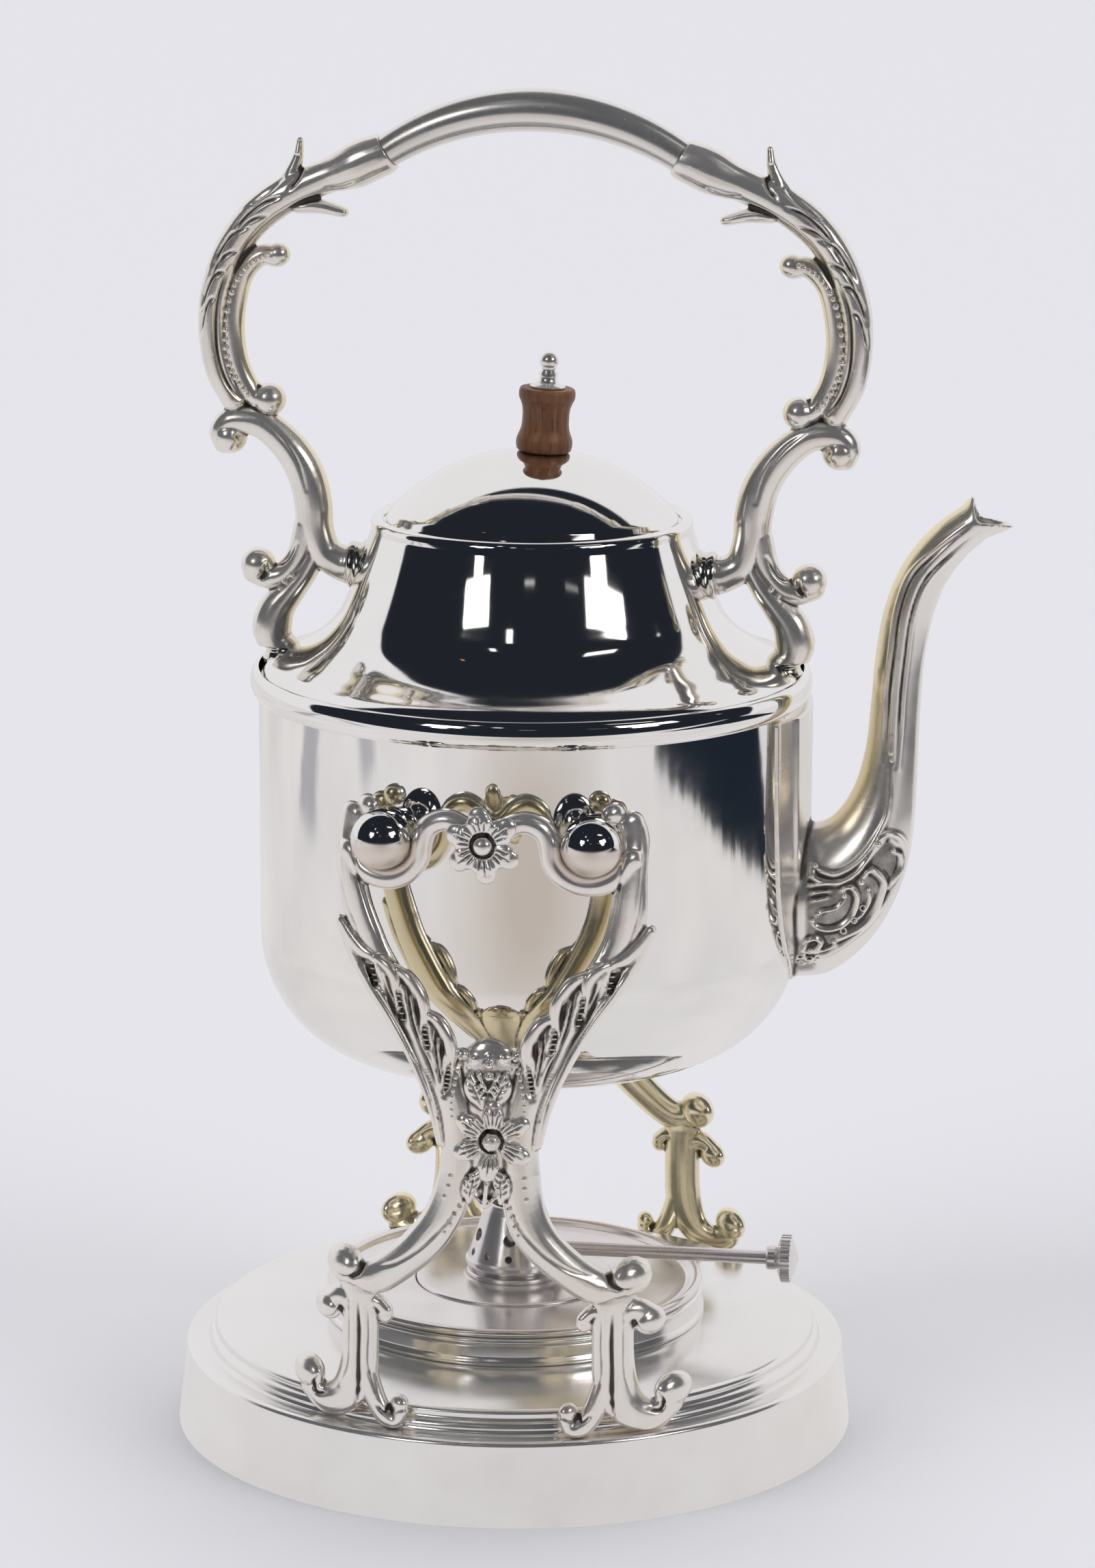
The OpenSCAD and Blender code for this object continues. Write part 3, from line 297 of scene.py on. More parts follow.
# Lamp ring, spirit font and its disc
# A soldered ring on the plateau holds the lamp. The font is a shallow pan that hangs from its rolled edge, closed
# by a raised disc; all are spun brass, plated, and brown with heat near the flame.
PAN = plate("lamp_plate", (0.90, 0.87, 0.86), (0.74, 0.65, 0.60), 0.14, 0.26, 0.15, 0.08, metal=0.85)
RING_OUT = [(49.6, 30.0), (52.0, 30.0), (52.1, 31.0), (51.4, 32.2), (51.2, 35.4), (51.9, 36.4), (51.6, 37.3), (50.8, 37.5), (49.6, 37.5)]
lamp_ring = piece("ring_round_the_lamp", [lathe(soften(RING_OUT + RING_OUT[:1], 0.5), 256)], SPUN, 60)
fit(lamp_ring, "stand", "spun_silver", "lamp_ring")
PAN_OUT = [
    (0, 13.0), (46, 13.0), (48.2, 13.8), (49, 16), (49, 37.5), (50.8, 37.55), (51.4, 38.2), (51.4, 39.0), (50.9, 39.7),
    (49.8, 39.9), (48.6, 39.4), (47.2, 38.2), (45, 38.1), (28, 38.35), (27.2, 38.4), (27.2, 37.4), (46, 37.1), (48, 37.0),
    (48, 16), (46, 14.0), (0, 14.0)
]
font = piece("spirit_pan", [lathe(soften(PAN_OUT, 0.5), 256)], PAN, 60)
fit(font, "lamp", "burner_nickel", "spirit_font")
DISC = [(7.66, 36.5), (27, 36.5), (27, 38.7), (26.6, 39.05), (25.4, 39.1), (18, 39.3), (14.2, 39.5), (13.6, 39.7), (7.66, 39.7)]
disc = piece("burner_disc", [lathe(soften(DISC + DISC[:1], 0.4), 192)], PAN, 60)
fit(disc, "lamp", "burner_nickel", "font_disc")


# Burner
# A turned collar with three beads screws into the disc. The pierced cap sits on it, and a rod with a knurled knob
# drives a toothed wheel that feeds the round cotton wick.
BURNER = plate("burner_nickel_plate", (0.88, 0.85, 0.85), (0.70, 0.60, 0.58), 0.16, 0.3, 0.15, metal=0.84)


def dress(material, *nodes):
    """Gives CAD nodes whose shape is right their finish."""
    for node in nodes:
        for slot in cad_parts[node].material_slots:
            slot.material = material


dress(BURNER, "burner_collar", "burner_cap", "wick_tube", "winder_rod", "winder_ferrule", "winder_knob")

# Support castings
# Two flat castings bent to the base's curve, each with two arms and legs, a bar that cradles the studs, and a
# flowered tablet between. Leaves and beads are chased, and the hollows were left dark when it was polished.
CAST = plate("cast_silver_plate", (0.95, 0.915, 0.88), (0.88, 0.81, 0.72), 0.17, 0.3, 0.1, 0.25, 0.95, metal=0.86)
AGED = plate("yellowed_cast_plate", (0.94, 0.87, 0.71), (0.87, 0.76, 0.52), 0.16, 0.3, 0.1, 0.25, 0.95, metal=0.88)
# The waist of the real casting sits further out than the flat drawing says; the stand's ledge and the cradles
SHIFT = 1.5
LEDGE_Z, STUD_Z, STUD_X = 22.5, 180.7, 27


def bar(stations, sides=20, steps=5):
    """A solid bar with domed ends. A station is x, height, half width, half thickness and how far it is set back."""
    p = flow([tuple(s) + (0,) * (5 - len(s)) for s in stations], steps)
    along = np.gradient(p[:, :2], axis=0)
    along /= np.linalg.norm(along, axis=1)[:, None]
    a = np.arange(sides) * 2 * math.pi / sides
    rings = []

    def ring(k, push, size):
        x, z, w, t, back = p[k]
        u = along[k]
        out = (w * size * np.cos(a))[:, None] * np.array([-u[1], u[0]]) + np.array([x, z]) + u * push
        rings.append(np.column_stack([out[:, 0], back + t * size * np.sin(a), out[:, 1]]))

    dome = np.radians([80, 60, 40, 20])
    for b in dome:
        ring(0, -math.sin(b) * p[0, 2], math.cos(b))
    for k in range(len(p)):
        ring(k, 0, 1)
    for b in dome[::-1]:
        ring(-1, math.sin(b) * p[-1, 2], math.cos(b))
    return np.vstack(rings), tube_faces(len(rings), sides)


def ball(x, z, r, back=0.0, flat=1.0, around=20):
    """A ball, or a bead pressed flat, as a closed skin."""
    a = np.linspace(-math.pi / 2, math.pi / 2, around // 2 + 1)
    a[0], a[-1] = -math.pi / 2, math.pi / 2
    verts, faces = lathe([(r * math.cos(b) if abs(b) < 1.57 else 0, r * math.sin(b)) for b in a], around)
    v = np.array(verts, float)
    return np.column_stack([v[:, 0] + x, -v[:, 2] * flat + back, v[:, 1] + z]), faces


class Skin:
    """A casting: closed skins run together by a voxel remesh, then chased point by point."""

    def __init__(self, shells, grain):
        verts, faces = joined(shells)
        mesh = bpy.data.meshes.new("rough")
        mesh.from_pydata(verts.tolist(), [], faces)
        rough = put("rough", mesh)
        change = rough.modifiers.new("melt", "REMESH")
        change.mode = "VOXEL"
        change.voxel_size = grain
        made = rough.evaluated_get(bpy.context.evaluated_depsgraph_get()).data
        self.v = np.empty(len(made.vertices) * 3)
        made.vertices.foreach_get("co", self.v)
        self.v = self.v.reshape(-1, 3)
        self.f = np.empty(len(made.loops), int)
        made.loops.foreach_get("vertex_index", self.f)
        self.f = self.f.reshape(-1, 4)
        bpy.data.objects.remove(rough)
        bpy.data.meshes.remove(mesh)
        self.a, self.b = self.f.ravel(), np.roll(self.f, -1, 1).ravel()
        self.n = len(self.v)
        self.share = np.bincount(self.a, minlength=self.n) + np.bincount(self.b, minlength=self.n)
        self.lift = np.zeros(self.n)
        self.extra = []

    def around(self, q):
        """Mean of each point's neighbours."""
        q = q.reshape(self.n, -1)
        s = [np.bincount(self.a, c[self.b], self.n) + np.bincount(self.b, c[self.a], self.n) for c in q.T]
        return np.stack(s, 1) / self.share[:, None]

    def relax(self, times):
        for _ in range(times):
            self.v += 0.5 * (self.around(self.v) - self.v)
        return self

    def normals(self):
        c = self.v[self.f]
        flat = np.cross(c[:, 2] - c[:, 0], c[:, 3] - c[:, 1])
        n = np.zeros((self.n, 3))
        for k in range(4):
            for i in range(3):
                n[:, i] += np.bincount(self.f[:, k], flat[:, i], self.n)
        return n / np.maximum(np.linalg.norm(n, axis=1), 1e-12)[:, None]

    def line(self, points, width, depth, steps=4):
        """Presses a groove along a path, or with a depth below nought raises a rib."""
        p = flow(points, steps) if len(points) > 2 else np.array(points, float)
        q = self.v[:, [0, 2]]
        near = np.all((q > p.min(0) - 3 * width) & (q < p.max(0) + 3 * width), axis=1)
        q = q[near]
        best = np.full(len(q), 1e9)
        ends = np.ones(len(q))
        for k, (a, b) in enumerate(zip(p[:-1], p[1:])):
            ab = b - a
            t = np.clip((q - a) @ ab / max(ab @ ab, 1e-9), 0, 1)
            d = np.linalg.norm(q - a - t[:, None] * ab, axis=1)
            closer = d < best
            best[closer] = d[closer]
            share = (k + t) / (len(p) - 1)
            ends[closer] = np.minimum(1, 0.25 + 3.5 * np.minimum(share, 1 - share))[closer]
        self.lift[near] = np.where(
            depth > 0,
            np.minimum(self.lift[near], -depth * ends * np.exp(-((best / width) ** 2))),
            self.lift[near] - depth * ends * np.exp(-((best / width) ** 2)),
        )

    def chase(self):
        """Moves the face's points by what was pressed into it."""
        n = self.normals()
        face = np.clip((-n[:, 1] - 0.05) / 0.4, 0, 1)
        self.v += n * (self.lift * face)[:, None]

    def hollows(self):
        """How deep each point lies in a hollow, from 0 to 1."""
        n = self.normals()
        smooth = self.v.copy()
        total = np.zeros(self.n)
        fine, broad = 6, 36
        for step in range(1, broad + 1):
            smooth = self.around(smooth)
            if step in (fine, broad):
                total += np.sum((smooth - self.v) * n, axis=1) * (4.2 if step == fine else 0.35)
        deep = np.clip(total - 0.03, 0, 1)
        for _ in range(2):
            deep = 0.5 * deep + 0.5 * self.around(deep)[:, 0]
        return deep

    def bead(self, x, z, r, back, flat=0.8):
        self.extra.append(ball(x, z, r, back, flat, 12))

    def made(self, name, place, material):
        """The finished piece, with every point put where place says."""
        verts, faces = joined([(self.v, self.f.tolist())] + self.extra)
        mesh = bpy.data.meshes.new(name)
        mesh.from_pydata((place(verts) * MM).tolist(), [], faces)
        mesh.shade_smooth()
        deep = np.concatenate([self.hollows(), np.zeros(len(verts) - self.n)])
        mesh.attributes.new("recess", "FLOAT", "POINT").data.foreach_set("value", deep)
        mesh.materials.append(material)
        return put(name, mesh)


def bent(v):
    """Bends the flat casting to the base's curve, in front of the kettle; it leans in a little."""
    x, back, z = v.T
    x = x + SHIFT * np.clip((z - 78) / 16, 0, 1) * np.clip((172 - z) / 16, 0, 1)
    r = 86 - 3 * (z - LEDGE_Z) / (STUD_Z - LEDGE_Z)
    return np.column_stack([x + KETTLE_OFF, back - np.sqrt(r * r - x * x), z])


def turned(front, name, *nodes):
    """The same casting at the back of the kettle."""
    back = put(name, front.data.copy())
    back.data.materials[0] = AGED
    back.matrix_world = Matrix.Translation((2 * KETTLE_OFF * MM, 0, 0)) @ Matrix.Rotation(math.pi, 4, "Z")
    return fit(back, "stand", "cast_silver", *nodes)


def both(path):
    """A path and its mirror image."""
    return path, [(-s[0],) + tuple(s[1:]) for s in path]


ARM = [
    (37.5, 64.5, 3.8, 3.6), (30, 62.9, 4.6, 4), (21.2, 69, 4.8, 4.2), (13.6, 77.2, 5.2, 4), (9.6, 86, 5.2, 3.6),
    (8.1, 96.5, 4.8, 3.4), (8.1, 106, 4.8, 3.4), (9.9, 114.5, 5, 3.2), (13.4, 122.9, 5.2, 3), (19.4, 133.1, 5, 2.9),
    (24.5, 140.1, 4.8, 2.8), (30.8, 150.1, 4.6, 2.9), (34.6, 160, 4.6, 3), (35.9, 168, 4.2, 3.2, 0.4),
    (36.7, 175, 3.8, 3.2, 1.2), (37.0, 180.5, 3.6, 3, 2.6), (36.0, 184.7, 3.4, 2.8, 3.1)
]
EDGE = [
    (39.8, 156.2, 1.3, 1.6, -1), (36.6, 149.4, 1.7, 1.9, -1.2), (31.4, 141.6, 1.9, 2.1, -1.4), (25.8, 134.2, 2, 2.1, -1.4),
    (21, 126.5, 2, 2.1, -1.4), (17, 118.5, 1.9, 2, -1.3), (14.2, 110.5, 1.7, 1.8, -1.2), (12.4, 102, 1.4, 1.5, -1.2)
]
FINGER = [
    (40.0, 157.2, 1.5, 1.7, -1), (37.4, 153.8, 2, 2, -1.4), (34.4, 151, 2, 2, -1.8), (31.4, 149.2, 1.6, 1.8, -1.8),
    (30.4, 146, 1.2, 1.4, -1.8), (29.4, 141, 1, 1.2, -1.6)
]
ROLLS = [
    [(31, 149.4, 1.2, 1.4, -1.8), (28.6, 148.6, 1.6, 1.9, -2.1), (26.2, 146.8, 1.8, 2, -2.2), (24.8, 143.8, 1.6, 1.8, -2.1),
     (24.4, 140.4, 1.3, 1.5, -1.9), (23.6, 136, 0.9, 1.1, -1.6)],
    [(24.6, 147, 1.2, 1.4, -1.8), (21.4, 145.4, 1.7, 1.9, -2.2), (18.8, 142.2, 1.9, 2.1, -2.2), (17.2, 138.8, 1.8, 2, -2.1),
     (16.8, 135.2, 1.4, 1.6, -1.9), (17, 130.6, 0.9, 1.1, -1.6)],
    [(16.6, 136, 1.2, 1.4, -1.8), (13.4, 134.6, 1.7, 1.9, -2.2), (11, 131.2, 1.9, 2.1, -2.2), (9.8, 127.4, 1.8, 2, -2),
     (9.8, 123.4, 1.4, 1.6, -1.8), (10.4, 118.6, 0.9, 1.1, -1.6)]
]
SLOTS = [
    [(31.6, 148), (30.6, 144.6), (29.4, 141)], [(24, 141.8), (23.6, 137.6), (22.4, 133)],
    [(16.7, 133.4), (16.6, 129.6), (15.7, 125.6)], [(9.8, 124.4), (10.5, 119.6), (11.6, 115)]
]
RIBS = [
    [(34.4, 147.2), (30.8, 142), (26.8, 136.6), (22.9, 130.4), (19.5, 123.8), (16.6, 116.6), (14.4, 109), (12.6, 101)],
    [(29, 146), (27.2, 141), (24.8, 135.6), (21.6, 129.6), (18.4, 123.4), (15.6, 116.4), (13.5, 109)],
    [(27.2, 144.4), (25.8, 140), (23.6, 134), (20.5, 128.2), (17.6, 122.4), (15, 116)],
    [(21.4, 142.6), (20.8, 138), (19.8, 133), (18, 128), (15.6, 122.6), (13.6, 117)],
    [(19.4, 140.8), (18.9, 136.6), (18, 131.6), (16.2, 126.8), (13.8, 121.4)],
    [(13.6, 131.8), (13.8, 128.4), (13.4, 124.4), (12.6, 120), (11.6, 115.6)],
    [(12, 129.6), (12.2, 126.4), (12, 122.6), (11.4, 118.6)]
]
CRADLE_R = 10.8
CRADLE = [
    (STUD_X + CRADLE_R * math.cos(a), STUD_Z + CRADLE_R * math.sin(a), 2.9, 3.1) for a in np.radians(range(-25, -156, -26))
]
CRADLE += [
    (16.2, 181.3, 2.9, 3.1), (14.4, 184.9, 2.9, 3.1), (10.2, 186.6, 2.9, 3.1), (6, 185.2, 2.9, 3.1), (2.6, 182.4, 2.8, 3),
    (-1, 181, 2.8, 3)
]
TABLET = [(0, 88.4, 2.6, 2.2), (0, 93, 5, 2.7), (0, 104, 7, 2.9), (0, 116, 7.4, 2.9), (0, 122.6, 7.4, 2.6)]
shells = [bar(p) for path in [ARM, EDGE, FINGER, CRADLE] + ROLLS for p in both(path)] + [bar(TABLET, 28)]
for x, z, r in ((37.6, 65.4, 5.2), (31.6, 187.6, 3.0)):
    shells += [ball(x, z, r, 0 if z < 100 else 3.2), ball(-x, z, r, 0 if z < 100 else 3.2)]
for x, z, r in ((0.3, 125.3, 2.0), (-3.6, 124.6, 1.8), (4.2, 125, 1.9), (-7, 125.6, 1.7), (7.4, 125.6, 1.7)):
    shells.append(ball(x, z, r, -0.6, 1.1))
# Leaves above and below the flower, and the bud between
LEAF = [
    (-4.6, 120.6, 0.8, 0.9, -2.7), (-4.2, 117.8, 2.2, 1.3, -2.9), (-2.8, 115, 2.2, 1.3, -2.9), (-1.4, 112.4, 1.0, 0.9, -2.7)
]
LOW_LEAF = [
    (-1.6, 95.4, 0.9, 0.9, -2.7), (-3.6, 92.6, 2.1, 1.3, -2.9), (-4.4, 89.8, 1.9, 1.2, -2.9), (-4.2, 87, 0.7, 0.8, -2.7)
]
STALKS = [
    [(0, 92, 0.7, 0.8, -2.9), (0, 87, 0.7, 0.8, -2.9)],
    [(-2.3, 88.2, 0.5, 0.7, -2.8), (0, 85.9, 0.7, 0.8, -2.8), (2.3, 88.2, 0.5, 0.7, -2.8)],
    [(-2.6, 121, 0.45, 0.6, -3), (0.1, 116.6, 0.5, 0.7, -3.1), (2.8, 121, 0.45, 0.6, -3)]
]
for path in (LEAF, LOW_LEAF):
    shells += [bar(p, 14) for p in both(path)]
shells += [bar(path, 12) for path in STALKS] + [ball(0.2, 120.4, 1.1, -2.9), ball(0.3, 123.6, 1.2, -2.8)]
support = Skin(shells, 0.34).relax(1)
for paths, width, depth in ((SLOTS, 1.1, 1.7), (RIBS, 0.5, 0.75)):
    for path in paths:
        for p in both(path):
            support.line(p, width, depth)
for x, z in ((-4.4, 119.6), (-3.4, 94.4)):
    for s in (-1, 1):
        tip = (x * 0.35 * -s, 112.8) if z > 100 else (x * 1.2 * -s, 87.6)
        support.line([(-s * x, z), tip], 0.32, 0.6)
        for k in range(1, 4):
            at = (-s * x + (tip[0] + s * x) * k / 4, z + (tip[1] - z) * k / 4)
            for side in (-1, 1):
                support.line([at, (at[0] + side * 1.9, at[1] + 1.5)], 0.26, 0.4)
for path, width, depth in (
    ([(33.2, 70.2), (32.2, 67.2), (33.4, 64.2), (36.6, 62.6), (40, 63.6)], 0.7, 0.9),
    ([(38.8, 184), (39.8, 176), (39, 168), (37.2, 160), (34, 153.4)], 0.6, 0.35),
    ([(34.2, 182), (34.4, 176), (33.4, 168), (31.4, 160), (28.6, 152.6)], 0.5, 0.3),
    ([(5.2, 88), (9.6, 80.6), (15.4, 74.2), (22, 69.4), (29, 66.6)], 0.5, 0.35)
):
    for p in both(path):
        support.line(p, width, depth)
support.chase()
for path, count in zip(SLOTS, (5, 6, 6, 8)):
    for p in both(path):
        for x, z in flow(p, 20)[np.linspace(3, 37, count).astype(int)]:
            support.extra.append(ball(x, z, 0.26, -2.1, 1.8, 8))
            v, f = support.extra[-1]
            v[:, 0] = x + (v[:, 0] - x) * 3.2
BEADS = [
    (7.6, 125.2), (7.9, 123.5), (8.4, 121.7), (9.0, 119.9), (9.4, 118.1), (9.8, 116.3), (10, 114.6), (10.2, 112.9),
    (10.2, 111.2), (10, 109.4)
]
for x, z in BEADS:
    for s in (-1, 1):
        support.bead(s * x * 0.92, z, 0.62, -3.0)
for x, z, r in (
    (9.6, 93.6, 0.8), (9.9, 90.9, 0.8), (10.7, 88, 0.8), (6.2, 85.4, 0.7), (7.4, 83.2, 0.7), (8.4, 80.7, 0.7), (9.6, 78.4, 0.6)
):
    for s in (-1, 1):
        support.bead(s * x, z, r, -3.3)
front_support = fit(support.made("front_support_casting", bent, CAST), "stand", "cast_silver", "front_support")
turned(front_support, "back_support_casting", "back_support")

# Feet
# Each leg stands on a cast foot that forks into an upturned outer scroll and a small inner toe, with two curls
# under the knee. They are soldered to the legs and to the base's ledge.
STEM = [
    (33.4, 59, 5.6, 3.5), (33.2, 52.5, 5.3, 3.5), (33.2, 45, 5.3, 3.5), (33.8, 37.5, 5.5, 3.5), (36, 31.6, 5.1, 3.5),
    (39.6, 28.2, 4.6, 3.5), (44, 27.4, 4.2, 3.5), (47.2, 29.8, 3.8, 3.5)
]
TOE = [(32.4, 39.5, 3.4, 3.1), (29.6, 31.5, 3.1, 3.1), (26.6, 26.2, 2.8, 3.1), (23.4, 25.2, 2.4, 2.8), (21.8, 27.8, 2.1, 2.6)]
CURL = [(34.4, 54.5, 3.1, 3.1), (38.6, 56.4, 3, 3.1), (42.2, 54.4, 2.8, 3.1)]
SMALL_CURL = [(32.4, 54.5, 2.2, 2.8), (28.8, 56.8, 2, 2.6), (26, 54.8, 1.9, 2.4)]
shells = [bar(p) for path in (STEM, TOE, CURL, SMALL_CURL) for p in both(path)]
for x, z, r in ((48.2, 33.5, 4.7), (42.4, 53, 3.9), (22.2, 29.7, 2.5), (26.2, 53.4, 2.3)):
    shells += [ball(x, z, r), ball(-x, z, r)]
feet = Skin(shells, 0.36).relax(1)
for path, width, depth in (
    ([(33.4, 56), (33.2, 48), (33.4, 40), (33.2, 33), (33.6, 28)], 0.9, 1.3),
    ([(30.6, 56), (30.4, 48), (30.6, 40), (28.6, 33)], 0.5, 0.4),
    ([(36.2, 56), (36.2, 47), (36.6, 39), (38.8, 32.4)], 0.5, 0.4), ([(43, 29.6), (45.4, 29.2), (46, 31.4), (44.8, 33.6)], 0.6, 0.9),
    ([(38.6, 53.6), (40.6, 50.6), (43.6, 49.9)], 0.5, 0.7), ([(25, 29.4), (25.8, 27.6), (28.4, 29.6)], 0.5, 0.6)
):
    for p in both(path):
        feet.line(p, width, depth)
feet.chase()


def above_base(v):
    """Bends the feet, and keeps them off the base's step and ledge."""
    step_r, step_z = 84.0, 28.4
    v = bent(v)
    v[:, 2] = np.maximum(v[:, 2], LEDGE_Z)
    r = np.hypot(v[:, 0], v[:, 1])
    low = (v[:, 2] < step_z) & (r < step_r)
    v[low, :2] *= (step_r / r[low])[:, None]
    return v


front_feet = fit(feet.made("front_feet_castings", above_base, CAST), "stand", "cast_silver", "front_feet")
back_feet = put("back_feet_castings", front_feet.data.copy())
back_feet.data.transform(Matrix.Scale(-1, 4, (0, 1, 0)))
back_feet.data.flip_normals()
back_feet.data.materials[0] = AGED
fit(back_feet, "stand", "cast_silver", "back_feet")

# Rosettes and tablet flowers
# Small flowers chased on their own and soldered to the castings: one hides the middle of the cradle bar, one the
# middle of the tablet.


def blossom(at, petals, reach, wide, boss, ribs, set_forward):
    """Petals of half width wide round a boss, at a place on the support's face."""
    x0, z0 = at
    shells = [ball(x0, z0, boss, set_forward - 1.1, 0.8, 24)]
    for deg in petals:
        a = math.radians(deg)
        u = (math.cos(a), math.sin(a))
        shells.append(bar([
            (x0 + u[0] * reach * 0.22, z0 + u[1] * reach * 0.22, wide * 0.45, 1.2, set_forward + 0.3),
            (x0 + u[0] * reach * 0.45, z0 + u[1] * reach * 0.45, wide * 0.85, 1.3, set_forward - 0.2),
            (x0 + u[0] * reach * 0.68, z0 + u[1] * reach * 0.68, wide, 1.5, set_forward - 0.5),
            (x0 + u[0] * reach * 0.86, z0 + u[1] * reach * 0.86, wide * 0.8, 1.3, set_forward - 0.2)
        ], 18, 4))
    skin = Skin(shells, 0.24).relax(1)
    for deg in petals:
        a = math.radians(deg)
        for spread in ribs:
            start, far = 0.36, 0.88 - abs(spread) * 0.35
            b = a + spread * 0.85
            skin.line([(x0 + reach * start * math.cos(b), z0 + reach * start * math.sin(b)),
                       (x0 + reach * far * math.cos(a + spread * 0.75), z0 + reach * far * math.sin(a + spread * 0.75))], 0.24, 0.45)
    ring = np.linspace(0, 2 * math.pi, 25)
    skin.line(list(zip(x0 + (boss + 0.35) * np.cos(ring), z0 + (boss + 0.35) * np.sin(ring))), 0.4, 0.8)
    skin.chase()
    return skin


TABLET_FLOWER, ROSETTE = (1.2, 103.6), (0, STUD_Z + 0.5)
flower = blossom(TABLET_FLOWER, (87, 146, 31, 203, 332, 263), 10.2, 2.9, 2.5, (-0.5, -0.26, 0, 0.26, 0.5), -3.2)
draw = np.random.default_rng(4)
for _ in range(46):
    a, r = draw.uniform(0, 2 * math.pi), 2.1 * math.sqrt(draw.uniform(0, 1))
    crown = 0.82 * math.sqrt(max(0.1, 6.25 - r * r))
    flower.bead(TABLET_FLOWER[0] + r * math.cos(a), TABLET_FLOWER[1] + r * math.sin(a), 0.3, -4.0 - crown, 1)
front_flower = fit(flower.made("front_tablet_flower", bent, CAST), "stand", "cast_silver", "front_flower")
turned(front_flower, "back_tablet_flower", "back_flower")
rose = blossom(ROSETTE, (100, 160, 216, 276, 332, 38), 8.6, 3.5, 2.6, (-0.34, 0, 0.34), -3.1)
for deg in (130, 188, 246, 304, 5, 69):
    u = np.array([math.cos(math.radians(deg)), math.sin(math.radians(deg))])
    rose.line([ROSETTE + 3.4 * u, ROSETTE + 8.6 * u], 0.55, 1.5)
front_rosette = fit(rose.made("front_rosette_flower", bent, CAST), "stand", "cast_silver", "front_rosette")
turned(front_rosette, "back_rosette_flower", "back_rosette")

# Kettle bowl, shoulder and neck
# Raised from sheet and mirror polished. The bowl curls under to a flat bottom, a half-round moulding hides the
# joint, and the shoulder sweeps up into a tapering neck with a rolled rim.
MIRROR = plate("mirror_silver_plate", (0.95, 0.94, 0.925), (0.91, 0.88, 0.83), 0.035, 0.075, 0.05, 0.05)
BOWL_R, BOWL_Z, CORNER_W, CORNER_H, WALL = 73, 105.5, 30, 33.9, 1.0


def bowl_curve(inset):
    """The bowl's lower corner, a quarter of an oval."""
    return [
        (BOWL_R - CORNER_W + (CORNER_W - inset) * math.sin(a), BOWL_Z + CORNER_H - (CORNER_H - inset) * math.cos(a))
        for a in np.radians(np.arange(0, 91, 3))
    ]


bowl = [(0, BOWL_Z), (20, BOWL_Z)] + bowl_curve(0) + [(72.95, 160), (BOWL_R, 185), (BOWL_R, 206.9), (BOWL_R - WALL, 206.9)]
bowl += [(BOWL_R - WALL, 180)] + bowl_curve(WALL)[::-1] + [(20, BOWL_Z + WALL), (0, BOWL_Z + WALL)]
kettle_bowl = piece("spun_bowl", [lathe(bowl, 320, (KETTLE_OFF, 0))], MIRROR, 60)
fit(kettle_bowl, "kettle", "kettle_silver", "kettle_bowl")
NECK = flow([
    (72.9, 207.2), (72.2, 209.2), (69.4, 211.4), (65.6, 213.4), (60.4, 216.3), (55.4, 220), (51.9, 224.2), (49.7, 228.5),
    (47.95, 232.6), (46.2, 237.2), (44.4, 242.6), (43.0, 247.4)
], 6)
LIP = [
    (42.8, 248.2), (42.9, 249.2), (42.6, 250.2), (41.8, 250.9), (40.9, 251), (40.1, 250.7), (39.5, 250.1), (39.5, 249.4),
    (36.3, 249.4), (36.3, 248.4), (40.8, 246)
]
inside = [(r - 1.0, z - 0.6) for r, z in NECK[::-1][2:-2]]
neck = piece("neck_and_shoulder", [lathe(list(NECK) + LIP + inside, 320, (KETTLE_OFF, 0))], MIRROR, 60)
fit(neck, "kettle", "kettle_silver", "kettle_neck")
rim_arc = np.radians(np.arange(-78, 79, 12))
RIM = [(73.02, 203), (73.5, 203)] + [(73.4 + 1.8 * math.cos(a), 206.8 + 3.6 * math.sin(a)) for a in rim_arc]
RIM += [(73.5, 210.5), (73.02, 210.5)]
moulding = piece("shoulder_moulding", [lathe(RIM + RIM[:1], 320, (KETTLE_OFF, 0))], MIRROR, 60)
fit(moulding, "kettle", "kettle_silver", "shoulder_rim")

# Studs
# Four turned ball studs on stepped sockets hold the kettle in the cradles. Their undersides are dull where they
# rub in the cradles.
STUD = plate("stud_silver_plate", (0.93, 0.915, 0.895), (0.86, 0.82, 0.76), 0.05, 0.1, 0.12, 0.04, worn=STUD_Z * MM)


def stand_off(outline, x, side):
    """A turned form laid along the Y axis at a stud's place."""
    v, f = lathe(outline, 96)
    v = np.array(v, float)
    out = np.column_stack([v[:, 0] * side + x + KETTLE_OFF, v[:, 2] * side, v[:, 1] + STUD_Z])
    return out, f


SOCKET = [(2.65, 66), (5.4, 66), (5.4, 68.6), (5.2, 69.4), (4.6, 69.8), (4.6, 73.6), (4.2, 74.3), (2.65, 74.4)]
sockets = piece("stud_collars", [stand_off(SOCKET + SOCKET[:1], STUD_X, s) for s in (-1, 1)], STUD, 50)
fit(sockets, "kettle", "kettle_silver", "stud_sockets")
BALL_R, BALL_Y = 7.8, 81.65
BALL_OUT = [(0, 70), (3.6, 70), (3.6, 74.2), (3.9, 74.6)]
BALL_OUT += [(BALL_R * math.sin(a), BALL_Y + BALL_R * math.cos(a)) for a in np.radians(np.arange(148, 3, -4))]
BALL_OUT += [(0, BALL_Y + BALL_R)]
pivots = piece("spout_side_studs", [stand_off(BALL_OUT, STUD_X, s) for s in (-1, 1)], STUD, 50)
fit(pivots, "pivot", "kettle_silver", "pivot_studs")
REST_OUT = [(0, 66), (5.2, 66), (5.2, 69.4), (4.6, 69.8), (4.6, 73.6), (4, 74.3), (3.7, 74.5), (3.9, 74.8)] + BALL_OUT[4:]
